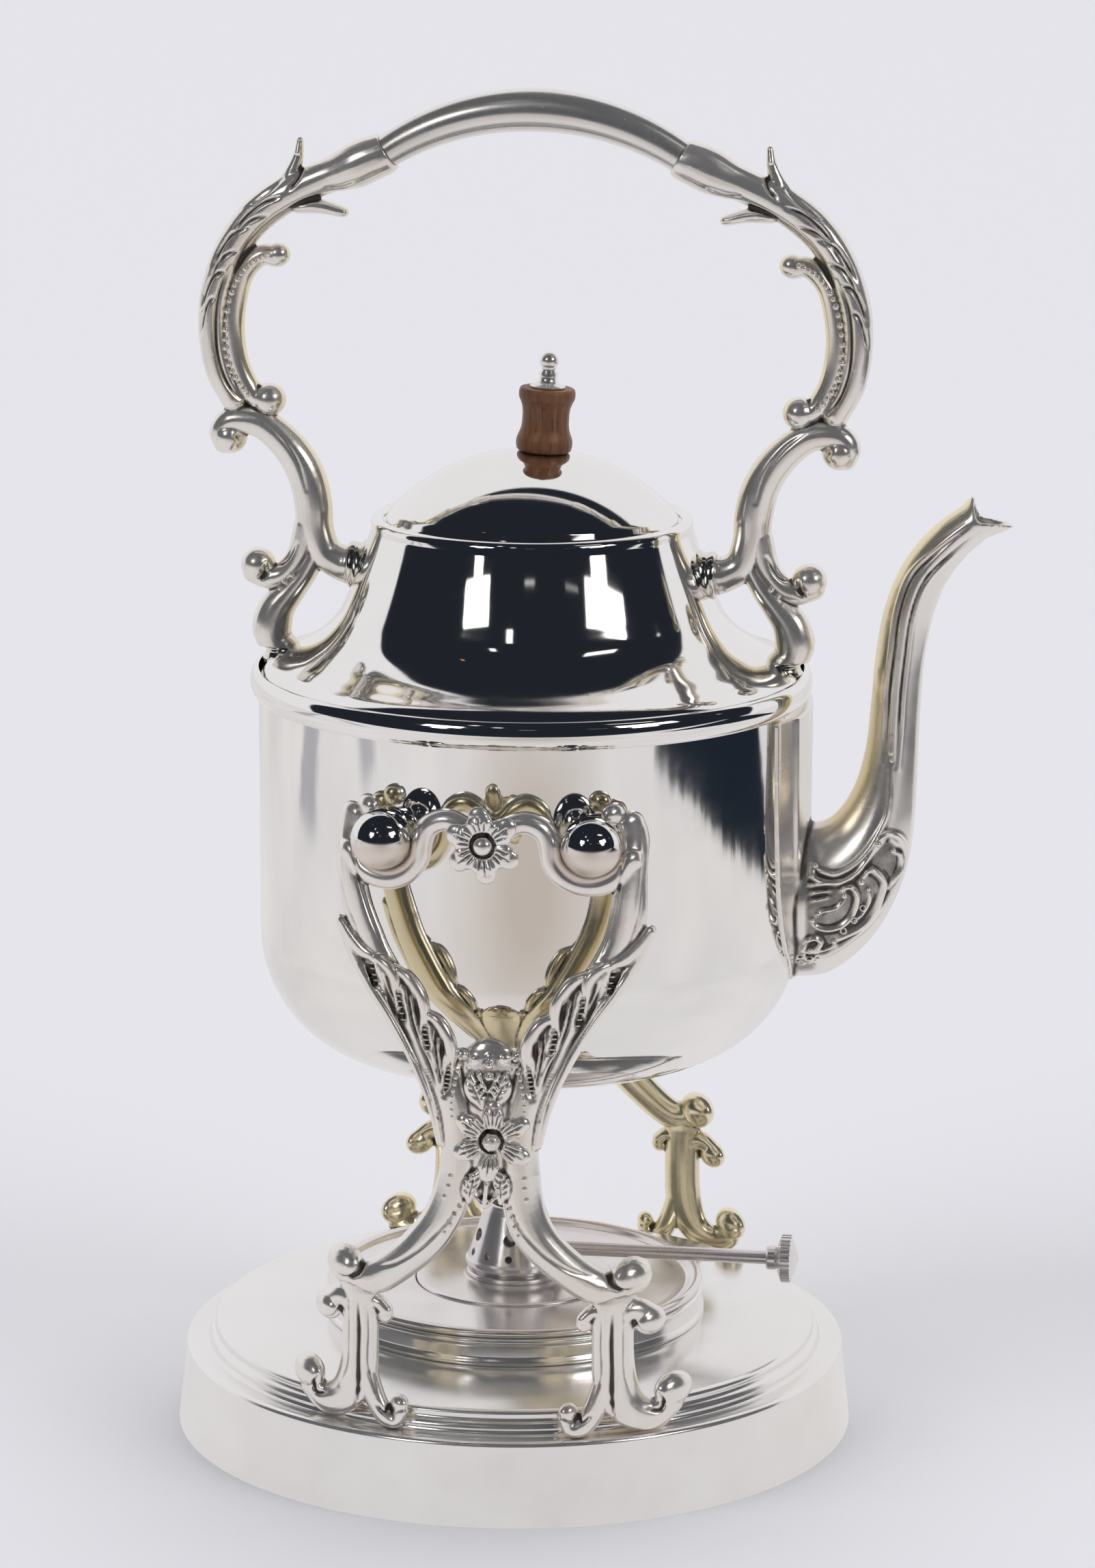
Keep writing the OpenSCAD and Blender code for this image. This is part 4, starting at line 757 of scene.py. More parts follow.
rests = piece("handle_side_studs", [stand_off(REST_OUT, -STUD_X, s) for s in (-1, 1)], STUD, 50)
fit(rests, "kettle", "kettle_silver", "rest_studs")

# Spout
# Cast in two halves and soldered to the bowl with a broad flange that runs up to the moulding. A moulded ridge
# follows each side, and scrolls and shells are chased over a dark ground on the bulb.
SPOUT = [
    (66, 149.6, 23.4, 14.5, 6), (70, 150, 23, 14.5, 8), (76, 150.5, 22.4, 14.5, 14), (83, 153.5, 18.5, 13.8, 26),
    (88.6, 160, 14.4, 12.4, 45), (92.6, 168.5, 11, 10.4, 66), (95.4, 179, 8.4, 8.4, 80), (97, 191, 7, 7, 87),
    (97.8, 204, 6.6, 6.5, 87), (98.8, 217, 6.5, 6.3, 84), (101, 229, 6.5, 6.1, 74), (105.2, 239.4, 6.2, 5.9, 60),
    (111.4, 247.4, 5.8, 5.6, 46), (117.6, 252.6, 5.4, 5.3, 38)
]


def bowl_radius(z):
    """Radius of the bowl's outside at a height."""
    if z > BOWL_Z + CORNER_H:
        return BOWL_R
    return BOWL_R - CORNER_W + CORNER_W * math.sin(math.acos(np.clip(1 - (z - BOWL_Z) / CORNER_H, -1, 1)))


def tube_rings(inset, around):
    """Lozenge sections along the spout, and then its long lower lip and short upper point."""
    a = np.arange(around) * 2 * math.pi / around
    rings = []
    for x, z, deep, wide, slope in flow(SPOUT, 9):
        s, c = math.sin(math.radians(slope)), math.cos(math.radians(slope))
        point = 1 if inset else 2 / 1.72
        up = (deep - inset) * np.sign(np.sin(a)) * np.abs(np.sin(a)) ** point
        across = (wide - inset) * np.sign(np.cos(a)) * np.abs(np.cos(a)) ** point
        rings.append(np.column_stack([x - s * up, -across, z + c * up]))
    lip = np.where(np.sin(a) < 0, -6.6 * np.sin(a), 1.8 * np.sin(a) ** 2)
    rise = np.where(np.sin(a) < 0, 0.4, 1.0)
    for k in np.linspace(0.12, 1, 8):
        out = (1 + lip) * k
        rings.append(np.column_stack([x + out * 0.9 - s * up, -across * (1 - 0.04 * k), z + out * rise + c * up]))
    return rings


def flange():
    """The band round the spout's root, thick in the middle and hollowed to a thin edge on the bowl."""
    heights = [126.2, 127.5, 129, 133, 138, 145, 153, 160, 168, 176, 185, 194, 202.4]
    half = [1, 5, 8, 13, 18, 21, 23, 24, 24.6, 25.2, 25.6, 25.8, 26]
    m, cove_w = 61, 9
    s = np.linspace(-1, 1, m)
    top, low = [], []
    for z in np.arange(126.2, 202.5, 0.9):
        w = np.interp(z, heights, half)
        y = w * s
        cove = np.clip((1 - np.abs(s)) * w / cove_w, 0, 1)
        high = 0.45 + 2.0 * np.interp(w, [0, 20], [0.2, 1]) * (1 - np.sqrt(np.clip(1 - cove**2, 0, 1)))
        high += 0.35 * np.exp(-(((1 - np.abs(s)) * w - 0.5) / 0.5) ** 2)
        r = bowl_radius(z)
        for rows, lift in ((top, high), (low, -0.4)):
            rows.append(np.column_stack([np.sqrt((r + lift) ** 2 - y**2), y, np.full(m, z)]))
    n = len(top)
    verts = np.vstack(top + low)
    faces = [(i * m + j, (i + 1) * m + j, (i + 1) * m + j + 1, i * m + j + 1) for i in range(n - 1) for j in range(m - 1)]
    faces += [tuple(n * m + k for k in f[::-1]) for f in faces]
    edge = list(range(m)) + [i * m + m - 1 for i in range(1, n)] + [(n - 1) * m + j for j in range(m - 2, -1, -1)]
    edge += [i * m for i in range(n - 2, 0, -1)]
    faces += [(a, b, n * m + b, n * m + a) for a, b in zip(edge, edge[1:] + edge[:1])]
    return verts, faces


AROUND, SPOUT_WALL = 72, 1.3
outer, inner = tube_rings(0, AROUND), tube_rings(SPOUT_WALL, AROUND)[2:]
rings = outer + [outer[-1] * 0.5 + inner[-1] * 0.5 + np.array([0.3, 0, 0.2])] + inner[::-1]
spout = Skin([(np.vstack(rings), tube_faces(len(rings), AROUND)), flange()], 0.42).relax(2)
RIDGE = [(118, 251.6), (110.5, 245.4), (103.5, 238), (100.2, 228.6), (98.9, 217.8), (98, 207.5), (97.6, 197.1), (97.0, 187.5)]
SCROLLS = [
    ([(97.3, 187.5), (97.2, 182.9), (97, 178.5), (96.3, 174), (94.2, 169.4), (91.4, 164.8), (87.8, 161), (83.5, 158.9),
      (79.8, 159.5), (78, 160.6)], 0.6, 0.75),
    ([(95.8, 170), (92.2, 163.7), (88.7, 159.1), (84.4, 156.7), (80, 156.9), (77.4, 158.3), (77.4, 161)], 0.7, 0.95),
    ([(94.6, 167.2), (95.7, 168.7), (97.8, 169.2), (100, 167.8), (101.2, 164.5), (100.9, 160.7), (99.1, 156.9), (97.4, 153.9)], 0.65, 0.9),
    ([(98.3, 164.4), (100.1, 162.9), (99.8, 159.2), (98.2, 155.6)], 0.45, 0.6),
    ([(90.2, 157), (92.3, 159.8), (94.5, 158.7), (96.1, 155.8), (95.4, 152), (94, 148.2), (91.9, 145.1), (89, 142.8),
      (86.1, 141.1), (83.2, 139.5)], 0.7, 1.0),
    ([(92.4, 154.4), (92.6, 151.4), (91, 148), (88.6, 145.2)], 0.4, 0.55),
    ([(86, 153.4), (85.6, 154.9), (87.8, 155.4), (89.3, 152.8), (89, 149.8), (87.6, 146.7), (85.1, 144.4), (81.8, 143.5),
      (78.9, 144.1), (77.4, 145.9)], 0.65, 0.95),
    ([(86, 151.9), (83.9, 149.6), (80.3, 148.7), (78.4, 147.2)], 0.45, 0.6),
    ([(75.4, 138.2), (76.4, 140.2), (78.4, 140.8), (79.8, 139.4), (78.8, 137.6), (76.9, 136.8)], 0.6, 0.85),
    ([(74.2, 132.6), (79.2, 134.9), (84.3, 137.6), (89.4, 141.4), (93.7, 146), (97.5, 151.6), (100.6, 157)], 0.5, 0.7),
    ([(74.8, 136.2), (79.6, 136.8), (84, 138.6)], 0.4, 0.5),
    ([(76.2, 155.9), (81.7, 156)], 0.4, 0.55), ([(76.8, 153.6), (82.4, 154.5)], 0.4, 0.55), ([(77, 151.4), (82, 152.6)], 0.4, 0.55)
]


def chase_sides(skin):
    """Chases both sides of a piece that is the same left and right."""
    n = skin.normals()
    face = np.clip((np.abs(n[:, 1]) - 0.08) / 0.35, 0, 1)
    skin.v += n * (skin.lift * face)[:, None]
    skin.lift[:] = 0


for shift, width, depth in ((0, 0.55, -0.8), (1.5, 0.4, 0.45), (-1.5, 0.4, 0.45), (2.6, 0.4, -0.3), (-2.6, 0.4, -0.3)):
    spout.line([(x + shift, z - shift * 0.35) for x, z in RIDGE], width, depth, 6)
for path, width, height in SCROLLS:
    spout.line(path, width, -height, 6)
x, z = spout.v[:, 0], spout.v[:, 2]
UPPER = ([74, 78, 84, 92, 97, 101.4], [157, 158.6, 157.4, 163, 168.6, 164])
LOWER_EDGE = ([74, 79.2, 84.3, 89.4, 93.7, 97.5, 100.6], [133, 135.4, 138, 141.8, 146.4, 152, 157.4])
field = np.clip((np.interp(x, *UPPER) - z) / 1.2, 0, 1) * np.clip((z - np.interp(x, *LOWER_EDGE)) / 1.2, 0, 1)
field *= np.clip((x - 75) / 1.5, 0, 1) * np.clip((np.abs(spout.v[:, 1]) - 3) / 2, 0, 1)
ground = field * np.clip(1 - spout.lift / 0.5, 0, 1)
spout.lift -= 0.35 * ground
chase_sides(spout)


def on_side(skin, x, z, side):
    """How far out the skin's side lies at a place."""
    near = np.argsort((skin.v[:, 0] - x) ** 2 + (skin.v[:, 2] - z) ** 2 + (skin.v[:, 1] * side < 0) * 1e6)[:40]
    return side * np.max(np.abs(skin.v[near, 1]))


for x, z, r in (
    (97.2, 191, 0.75), (97.4, 189, 0.6), (94.6, 167, 0.95), (98.3, 164.6, 0.9), (90.3, 156.8, 1.1), (86, 153.2, 0.9),
    (77.6, 146.2, 0.9), (78.1, 160.9, 0.8), (83.2, 139.8, 0.8), (77, 137.2, 0.8), (92.2, 154.6, 0.7)
):
    for side in (-1, 1):
        spout.extra.append(ball(x, z, r, on_side(spout, x, z, side) - side * 0.15 * r, 1, 12))
TURN = np.linspace(0, 2 * math.pi, 17)[:-1]
for x, z in ((90.8, 149.3), (88.6, 146.3), (85.8, 143.1)):
    for side in (-1, 1):
        y = on_side(spout, x, z, side)
        ring = [(x + 0.75 * math.cos(a), z + 0.75 * math.sin(a), 0.26, 0.3, y) for a in np.append(TURN, 0)]
        spout.extra.append(bar(ring, 8, 2))
keel = flow([(72.6, 130), (78.6, 132.2), (84.5, 135.4), (90, 140), (94.8, 146), (98.6, 152.6)], 8)
for k, t in enumerate(np.linspace(0, 1, 24)):
    px, pz = keel[int(t * (len(keel) - 1))]
    spout.extra.append(ball(px, pz, 0.8, 0.9 * (-1) ** k, 0.9, 10))


def still(v):
    """From the kettle's own axis to the base's."""
    return v + np.array([KETTLE_OFF, 0, 0])


def spout_place(v):
    """Keeps the root out of the kettle's inside."""
    r = np.hypot(v[:, 0], v[:, 1])
    sunk = 0.6
    wall = np.array([bowl_radius(z) for z in v[:, 2]]) - sunk
    inside = (r < wall) & (v[:, 2] < 203)
    v = v.copy()
    v[inside, :2] *= (wall[inside] / r[inside])[:, None]
    return still(v)


cast_spout = spout.made("cast_spout", spout_place, CAST)
deep = np.empty(len(cast_spout.data.vertices))
cast_spout.data.attributes["recess"].data.foreach_get("value", deep)
deep[: spout.n] = np.maximum(deep[: spout.n], 0.42 * ground)
cast_spout.data.attributes["recess"].data.foreach_set("value", deep)
fit(cast_spout, "kettle", "cast_silver", "spout")

# Handle castings
# Two cast sides with a thorn, a leafy outer limb, a beaded inner scroll and a lower limb that branches to the neck
# and the shoulder. Each grips the tube that makes the handle's top.
LIMB = [
    (40.6, 345.9, 5.7, 5.7), (44, 344.6, 6, 5.9), (47.6, 342.9, 6, 5.8), (51.4, 341.3, 5.2, 5.2), (55, 340, 4.6, 4.7),
    (62, 336.9, 4.6, 4.6),
    (70, 332.4, 4.9, 4.8), (77.0, 325.8, 4.7, 4.8), (82.3, 317, 4.4, 4.6), (85.2, 307, 4.3, 4.4), (85.7, 297, 4.1, 4.2),
    (84.2, 287.8, 3.9, 4), (80.4, 280, 3.6, 3.8)
]
INNER = [
    (68.6, 318.4, 2.9, 3), (72.4, 318.8, 2.8, 3.1), (76.4, 315.6, 2.9, 3.2), (79, 310.4, 3, 3.3), (80.6, 300.6, 3.1, 3.4), (79.8, 291.4, 3.1, 3.3),
    (77.2, 284.4, 3.1, 3.2), (74, 280.6, 3.1, 3.3), (70.9, 279.8, 3.2, 3.3)
]
LOWER = [
    (83.2, 268.4, 3.1, 3.2), (83.8, 271.6, 3.4, 3.6), (80.4, 274.4, 3.8, 4), (73, 273.6, 4.1, 4.3), (65.8, 267.8, 4.6, 4.6),
    (61.2, 260.6, 5, 4.8), (59.2, 252.6, 5.1, 4.8), (58.6, 245.4, 5, 4.6), (56, 239.2, 4.6, 4.5), (51.8, 236.6, 4.8, 4.8), (49.8, 236.2, 5.4, 5.2)
]
BRANCH = [(60.4, 246.5, 4, 4.2), (62.6, 238.6, 3.7, 3.9), (66.6, 233.4, 3.4, 3.6), (71, 232, 3.3, 3.4), (75.2, 233.4, 3.3, 3.4)]
STAND = [
    (58.4, 239, 3, 3.6), (61.6, 233.2, 3.2, 3.7), (65.6, 228.2, 3.9, 4.1), (69.2, 223.6, 4.9, 4.7), (70.6, 218.6, 5.4, 5),
    (69.6, 214.6, 4.8, 4.8),
    (67.6, 212.6, 4.6, 4.8)
]
THORN = [(68, 334.8, 2.4, 2.6), (64.6, 340.2, 2.2, 2.3), (62.8, 345, 1.5, 1.6), (62.2, 349.4, 0.9, 1)]
HOOK = [(62.6, 332.6, 2.6, 3), (56.4, 331.9, 1.9, 2.6), (52.4, 331, 1.6, 2.5), (50.6, 330.6, 1.4, 2.3)]
shells = [bar(p, 24) for p in (LIMB, INNER, LOWER, BRANCH, STAND, THORN, HOOK)]
for x, z, r in (
    (70.9, 280.2, 4.5), (81.6, 269.9, 4.6), (74.2, 235.4, 4.7), (68.2, 319, 3.2), (66.2, 229.6, 2.2), (63.4, 233.6, 1.7)
):
    shells.append(ball(x, z, r, 0, 1, 28))
side = Skin(shells, 0.34).relax(1)
CHASED = [
    ([(62.4, 347.6), (63.6, 342.6), (66.6, 337.6), (71.4, 333.6)], 0.8, -0.7), ([(61.2, 344), (62.2, 340), (64.6, 336.6)], 0.6, 0.7),
    ([(66, 340.6), (69, 337), (73.4, 333.4), (76.4, 331.4)], 0.6, 0.5),
    ([(52, 335.6), (57, 334.6), (63, 332.2), (70, 327.6), (75.6, 321.6), (79.4, 314.4)], 0.7, 0.7),
    ([(67, 334.8), (72, 333), (76.4, 329.4), (79.6, 325.2)], 0.55, 0.9), ([(70.4, 329.8), (75.4, 328), (79.2, 324.4), (82, 319.8)], 0.5, 0.7),
    ([(75.6, 326.6), (79.8, 324.8), (83, 320.8), (85.4, 316)], 0.55, 0.9), ([(78.4, 320.2), (82, 318.8), (84.8, 315), (86.6, 310)], 0.5, 0.7),
    ([(81.4, 314.6), (84.8, 313.6), (87.2, 309.6), (88.6, 304.6)], 0.55, 0.9), ([(83.6, 308), (86.4, 306.4), (88, 302), (88.8, 297.6)], 0.45, 0.6),
    ([(80.4, 316), (83.4, 308.6), (84.4, 300), (83.9, 292), (81.6, 285), (78.4, 280.6)], 0.55, 0.9),
    ([(46.4, 339.2), (50.6, 337.6), (54.8, 337.4)], 0.5, 0.4), ([(72.4, 275.4), (67, 271), (62.6, 264.4), (60.2, 256.6)], 0.6, 0.35),
    ([(79.6, 271.4), (78.2, 268.8), (79.6, 266.2)], 0.8, 0.9), ([(73.8, 283.4), (72.2, 285.6), (69.4, 285.2)], 0.6, 0.6),
    ([(73.4, 231.4), (71.8, 233.2), (71.4, 236.4)], 0.7, 0.7), ([(63.2, 242), (66, 237.2), (69, 235.4)], 0.5, 0.6)
]
for path, width, depth in CHASED:
    side.line(path, width, depth, 6)
chase_sides(side)
BEAD_ROW = [(70.4, 319.4), (74.4, 317.4), (78, 313.6), (80.6, 308), (82.0, 300), (81.8, 292.4), (79.6, 286.4), (76, 281.8)]
for k, (x, z) in enumerate(flow(BEAD_ROW, 40)[np.linspace(0, 280, 23).astype(int)]):
    for way in (-1, 1):
        side.extra.append(ball(x, z, 0.95 if k % 2 else 0.8, on_side(side, x, z, way) - way * 0.25, 1, 12))
for x, z, r in ((64.4, 233.4, 0.9), (66.2, 231.4, 0.8), (67.6, 229.6, 0.7)):
    for way in (-1, 1):
        side.extra.append(ball(x, z, r, on_side(side, x, z, way), 1, 12))


GRIP_HALF = math.radians(33)


def casting_cuts(v):
    """Flat joints with the grip, the neck's boss and the shoulder's pad."""
    collar_x, collar_z, boss_x, pad_z = 38.7, 346.8, 49.52, 213.52
    v = v.copy()
    u = np.array([math.cos(GRIP_HALF), -math.sin(GRIP_HALF)])
    along = (v[:, 0] - collar_x) * u[0] + (v[:, 2] - collar_z) * u[1]
    low = along < 0
    v[low, 0] -= along[low] * u[0]
    v[low, 2] -= along[low] * u[1]
    v[(v[:, 0] < boss_x) & (v[:, 2] < 250), 0] = boss_x
    foot = v[:, 0] > 60
    v[foot, 2] = np.maximum(v[foot, 2], pad_z)
    return v


side.v = casting_cuts(side.v)
right_side = fit(side.made("handle_casting_right", still, CAST), "kettle", "handle_silver", "handle_right")
left_side = put("handle_casting_left", right_side.data.copy())
left_side.data.transform(Matrix.Translation((KETTLE_OFF * 2 * MM, 0, 0)) @ Matrix.Scale(-1, 4, (1, 0, 0)))
left_side.data.flip_normals()
fit(left_side, "kettle", "handle_silver", "handle_left")

# Grip tube
# A tapered tube bent to a shallow arc, held at each end in the collar of a casting.
GRIP = plate("grip_silver_plate", (0.93, 0.91, 0.89), (0.85, 0.80, 0.73), 0.2, 0.3, 0.14, 0.1, metal=0.9)
GRIP_R, GRIP_TOP, GRIP_THICK, GRIP_TAPER, ACROSS = 71, 358.5, 5.7, 1.3, 64
rings = []
for a in np.linspace(-GRIP_HALF, GRIP_HALF, 97):
    r = GRIP_THICK - GRIP_TAPER * abs(a / GRIP_HALF) ** 1.6
    b = np.arange(ACROSS) * 2 * math.pi / ACROSS
    out = GRIP_R + r * np.cos(b)
    rings.append(np.column_stack([out * math.sin(a) + KETTLE_OFF, r * np.sin(b), GRIP_TOP - GRIP_R + out * math.cos(a)]))
grip = piece("grip_tube", [(np.vstack(rings), tube_faces(len(rings), ACROSS))], GRIP, 60)
fit(grip, "kettle", "handle_silver", "handle_grip")

# Bosses and pads
# Turned bosses join the castings to the neck, and flared pads stand on the shoulder; both are soldered, and the
# solder has yellowed a little.
SOLDER = plate("soldered_silver_plate", (0.87, 0.85, 0.80), (0.78, 0.74, 0.58), 0.1, 0.2, 0.1, 0.3)


def two_sides(outline, radius, shaped):
    """A turned form on both sides of the kettle; shaped puts the right hand one in its place."""
    v, f = lathe(soften(outline, radius), 64)
    v = shaped(np.array(v, float))
    mirrored = [face[::-1] for face in f]
    return [(v * [s, 1, 1] + [KETTLE_OFF, 0, 0], f if s > 0 else mirrored) for s in (-1, 1)]


def on_neck(v):
    """Laid on its side at the boss's height, and sunk a little way into the neck."""
    v = np.column_stack([v[:, 2], v[:, 1], v[:, 0] + BOSS_Z])
    r = np.interp(v[:, 2], NECK[:, 1], NECK[:, 0]) - SUNK
    v[:, 0] = np.maximum(v[:, 0], np.sqrt(np.maximum(r**2 - v[:, 1] ** 2, 0)))
    return v


def on_shoulder(v):
    """Stood on the shoulder's slope, and sunk a little way into it."""
    v[:, 0] += PAD_X
    r = np.hypot(v[:, 0], v[:, 1])
    v[:, 2] = np.maximum(v[:, 2], np.interp(r, NECK[::-1, 0], NECK[::-1, 1]) - SUNK)
    return v


SUNK, BOSS_Z, PAD_X = 0.3, 236, 67.5
BOSS = [
    (0, 49.5), (5.6, 49.5), (6.3, 49.2), (6.6, 48.4), (6.4, 47.4), (6.0, 46.9), (6.2, 46), (7.2, 44.6), (7.6, 40), (0, 40)
]
PAD = [(0, 213.5), (4.8, 213.5), (4.9, 213), (4.6, 212.2), (4.9, 211.2), (5.8, 210.2), (6.2, 207), (0, 207)]
bosses = piece("neck_solder_bosses", two_sides(BOSS, 0.5, on_neck), SOLDER, 60)
fit(bosses, "kettle", "cast_silver", "neck_bosses")
pads = piece("shoulder_solder_pads", two_sides(PAD, 0.4, on_shoulder), SOLDER, 60)
fit(pads, "kettle", "cast_silver", "shoulder_pads")
dress(CAST, "neck_hinge_leaf", "lid_hinge_leaf")
dress(GRIP, "hinge_pin", "knob_nut")

# Lid
# A spun dome that drops into the neck's seat on a soldered ring. It is hinged at the back, and its knob leans a
# little toward the spout.
DOME_R, DOME_TOP, DOME_T = 52.01, 268.6, 1.1
DOME_MID = DOME_TOP - DOME_R
top = [(r, DOME_MID + math.sqrt(DOME_R**2 - r * r)) for r in np.linspace(0, 38, 40)]
under = [(r, DOME_MID + math.sqrt((DOME_R - DOME_T) ** 2 - r * r)) for r in np.linspace(36.6, 0, 30)]
dome = top + [(38.5, 250.9), (39, 250.4), (39, 249.9), (38.7, 249.5), (36.6, 249.5)] + under
lid = piece("spun_lid", [lathe(dome, 320, (KETTLE_OFF, 0))], MIRROR, 60)
fit(lid, "lid", "kettle_silver", "lid_dome")
BEZEL = [(34.9, 244.6), (35.7, 244.7), (35.95, 245.4), (35.95, 249.6), (34.9, 249.6), (34.9, 244.6)]
fit(piece("lid_ring", [lathe(BEZEL, 256, (KETTLE_OFF, 0))], MIRROR, 60), "lid", "kettle_silver", "lid_bezel")

# Knob
# A turned and oiled hardwood knob between the dome and a silver finial whose screw holds it.
LEAN = math.asin(3 / DOME_R)


def leaned(v):
    """Turns a form off the lid's middle about the centre of the dome's curve."""
    x, y, z = np.array(v, float).T
    c, s = math.cos(LEAN), math.sin(LEAN)
    z = z - DOME_MID
    return np.column_stack([x * c + z * s + KETTLE_OFF, y, z * c - x * s + DOME_MID])


WOOD_OUT = [
    (0, 268.7), (6.5, 268.3), (7.2, 268.8), (7.45, 269.8), (7.5, 270.6), (7.4, 271.8), (6.9, 273), (6.4, 274.4), (6.2, 276),
    (6.2, 278.6),
    (6.4, 280.2), (6.9, 281.6), (7.4, 282.6), (7.5, 283.4), (7.5, 284.4), (7.2, 285.2), (6.8, 285.4), (0, 285.4)
]
wood = Finish("oiled_hardwood", 0.0)
figure = wood.grain(30, 3, 0.5, (1, 1, 0.16))
streak = wood.grain(520, 4, 0.6, (1, 1, 0.05))
pores = wood.grain(1500, 2, 0.5, (1, 1, 0.08))
tone = wood.ramp(figure, [(0.3, (0.14, 0.055, 0.022)), (0.55, (0.22, 0.092, 0.038)), (0.75, (0.29, 0.13, 0.056))])
tone = wood.blend(wood.ramp(streak, [(0.35, 0.75), (0.65, 0.0)]), tone, (0.09, 0.036, 0.014))
tone = wood.blend(wood.ramp(pores, [(0.3, 0.7), (0.42, 0.0)]), tone, (0.045, 0.02, 0.01))
wood.set("Base Color", tone)
wood.set("Roughness", wood.ramp(streak, [(0.3, 0.52), (0.7, 0.36)]))
wood.bump(pores, 0.00006, 0.5)
wood.bump(streak, 0.00008, 0.3)
v, f = lathe(soften(WOOD_OUT, 0.5), 96)
knob = piece("turned_knob", [(leaned(v), f)], wood.material, 60)
fit(knob, "lid", "knob_wood", "lid_knob")
TIP = [
    (0, 262), (1.5, 262), (1.5, 285.5), (4.6, 285.45), (4.75, 285.8), (4.4, 286.2), (3.1, 286.6), (2.4, 287.4), (2.25, 288.4),
    (2.4, 289.2), (1.9, 290)
]
TIP += [(2.5 * math.sin(a), 292.5 - 2.5 * math.cos(a)) for a in np.radians(np.arange(52, 176, 8))] + [(0, 295)]
v, f = lathe(TIP, 72)
fit(piece("knob_tip", [(leaned(v), f)], GRIP, 50), "lid", "kettle_silver", "knob_finial")
COTTON = Finish("wick_cotton", 0.0)
weave = COTTON.grain(1800, 2, 0.5, (1, 1, 0.3))
COTTON.set("Base Color", COTTON.ramp(weave, [(0.3, (0.42, 0.36, 0.27)), (0.7, (0.72, 0.67, 0.56))]))
COTTON.set("Roughness", 0.9)
COTTON.bump(weave, 0.0002, 0.6)
dress(COTTON.material, "wick")
BRASS = plate("wheel_brass", (0.78, 0.58, 0.30), (0.55, 0.38, 0.18), 0.18, 0.3, 0.2)
dress(BRASS, "wick_wheel")

# Floor and light
# A plain pale table and backdrop, lit by three soft suns and an even sky. The mirror metal shows the room instead: a
# table that ends, a dim side toward the camera with lamps in it, and pale walls elsewhere. To glossy rays the floor
# glows with a painted reflection of the table, its dark streaks and its end, with a painted warm shadow in front of the
# kettle.
STUDIO_PALE = (0.80, 0.795, 0.835)
AHEAD = (-0.1379, 0.9904)
DIM, LAMP = (0.014, 0.017, 0.024), (3.2, 3.15, 3.1)
floor_mesh = bpy.data.meshes.new("floor")
floor_mesh.from_pydata([(-9, -9, 0), (9, -9, 0), (9, 9, 0), (-9, 9, 0)], [], [(0, 1, 2, 3)])
floor = put("floor", floor_mesh)
table = Finish("table_top", 0.0)


def along(graph, vector, x_part, y_part):
    """How far a vector reaches along a horizontal direction."""
    x, y = vector["X"], vector["Y"]
    return graph.sums("ADD", graph.sums("MULTIPLY", x, x_part), graph.sums("MULTIPLY", y, y_part))


def beyond(value, limit, soft=0.01):
    """1 where a value is past a limit, with a ragged edge."""
    over = table.sums("DIVIDE", table.sums("SUBTRACT", table.sums("ADD", value, ragged), limit), soft)
    return table.ramp(over, [(0.0, 0.0), (1.0, 1.0)])


def between(value, low, high, soft=0.01):
    return table.sums("MULTIPLY", beyond(value, low, soft), table.sums("SUBTRACT", 1.0, beyond(value, high, soft)))


def square(value):
    return table.sums("POWER", table.sums("ABSOLUTE", value), 2.0)


spot = table.split(table.place)
toward_us, rightward = along(table, spot, -AHEAD[0], -AHEAD[1]), along(table, spot, AHEAD[1], -AHEAD[0])
leftward = table.sums("MULTIPLY", rightward, -1.0)
ragged = table.sums("MULTIPLY", table.sums("SUBTRACT", table.grain(16, 6, 0.75), 0.5), 0.12)
curve = table.sums("MULTIPLY", square(table.sums("SUBTRACT", toward_us, 0.26)), 0.55)
table_end = table.sums("MULTIPLY", beyond(table.sums("ADD", rightward, curve), 0.79), between(toward_us, -0.3, 0.6))
table_end = table.sums("MAXIMUM", table_end, beyond(toward_us, 1.22))
streaks = table.sums("MAXIMUM", *(
    table.sums("MULTIPLY", beyond(leftward, limit, soft), between(toward_us, low, high, edge))
    for limit, soft, low, high, edge in ((0.72, 0.06, -0.3, -0.14, 0.04), (0.8, 0.05, 0.24, 0.36, 0.05))
))
centre = table.sums("SQRT", table.sums("ADD", square(table.sums("SUBTRACT", toward_us, 0.74)), square(rightward)))
cloudy = table.ramp(table.grain(3, 3, 0.5), [(0.35, 0.0), (0.65, 1.0)])
# The floor's colour for glossy rays only: a painted reflection of the table, given out as glow
mirrored = table.blend(cloudy, (0.77, 0.755, 0.76), (0.69, 0.675, 0.69))
# Painted warm shadow on the table in front of the kettle, seen only in reflections
mirrored = table.blend(table.ramp(centre, [(0.1, 0.9), (0.5, 0.0)]), mirrored, (0.50, 0.44, 0.39))
mirrored = table.blend(table.sums("MULTIPLY", streaks, 0.7), mirrored, (0.3, 0.3, 0.34))
mirrored = table.blend(table_end, mirrored, (0.012, 0.018, 0.028))
for socket, value in (("Base Color", STUDIO_PALE), ("Roughness", 0.75), ("Specular IOR Level", 0.2)):
    table.set(socket, value)
painted_reflection_glow, either = table.add("ShaderNodeEmission"), table.add("ShaderNodeMixShader")
for socket, value in (
    (painted_reflection_glow.inputs["Color"], mirrored), (either.inputs[0], table.add("ShaderNodeLightPath").outputs["Is Glossy Ray"]),
    (either.inputs[1], table.surface.outputs["BSDF"]), (either.inputs[2], painted_reflection_glow.outputs["Emission"]),
    (table.nodes["Material Output"].inputs["Surface"], either.outputs["Shader"])
):
    table.feed(socket, value)
floor_mesh.materials.append(table.material)

world = bpy.data.worlds.new("studio")
bpy.context.scene.world = world
world.use_nodes = True
sky = Graph(world.node_tree)
sky.nodes.clear()
way = sky.split(sky.add("ShaderNodeTexCoord").outputs["Generated"])


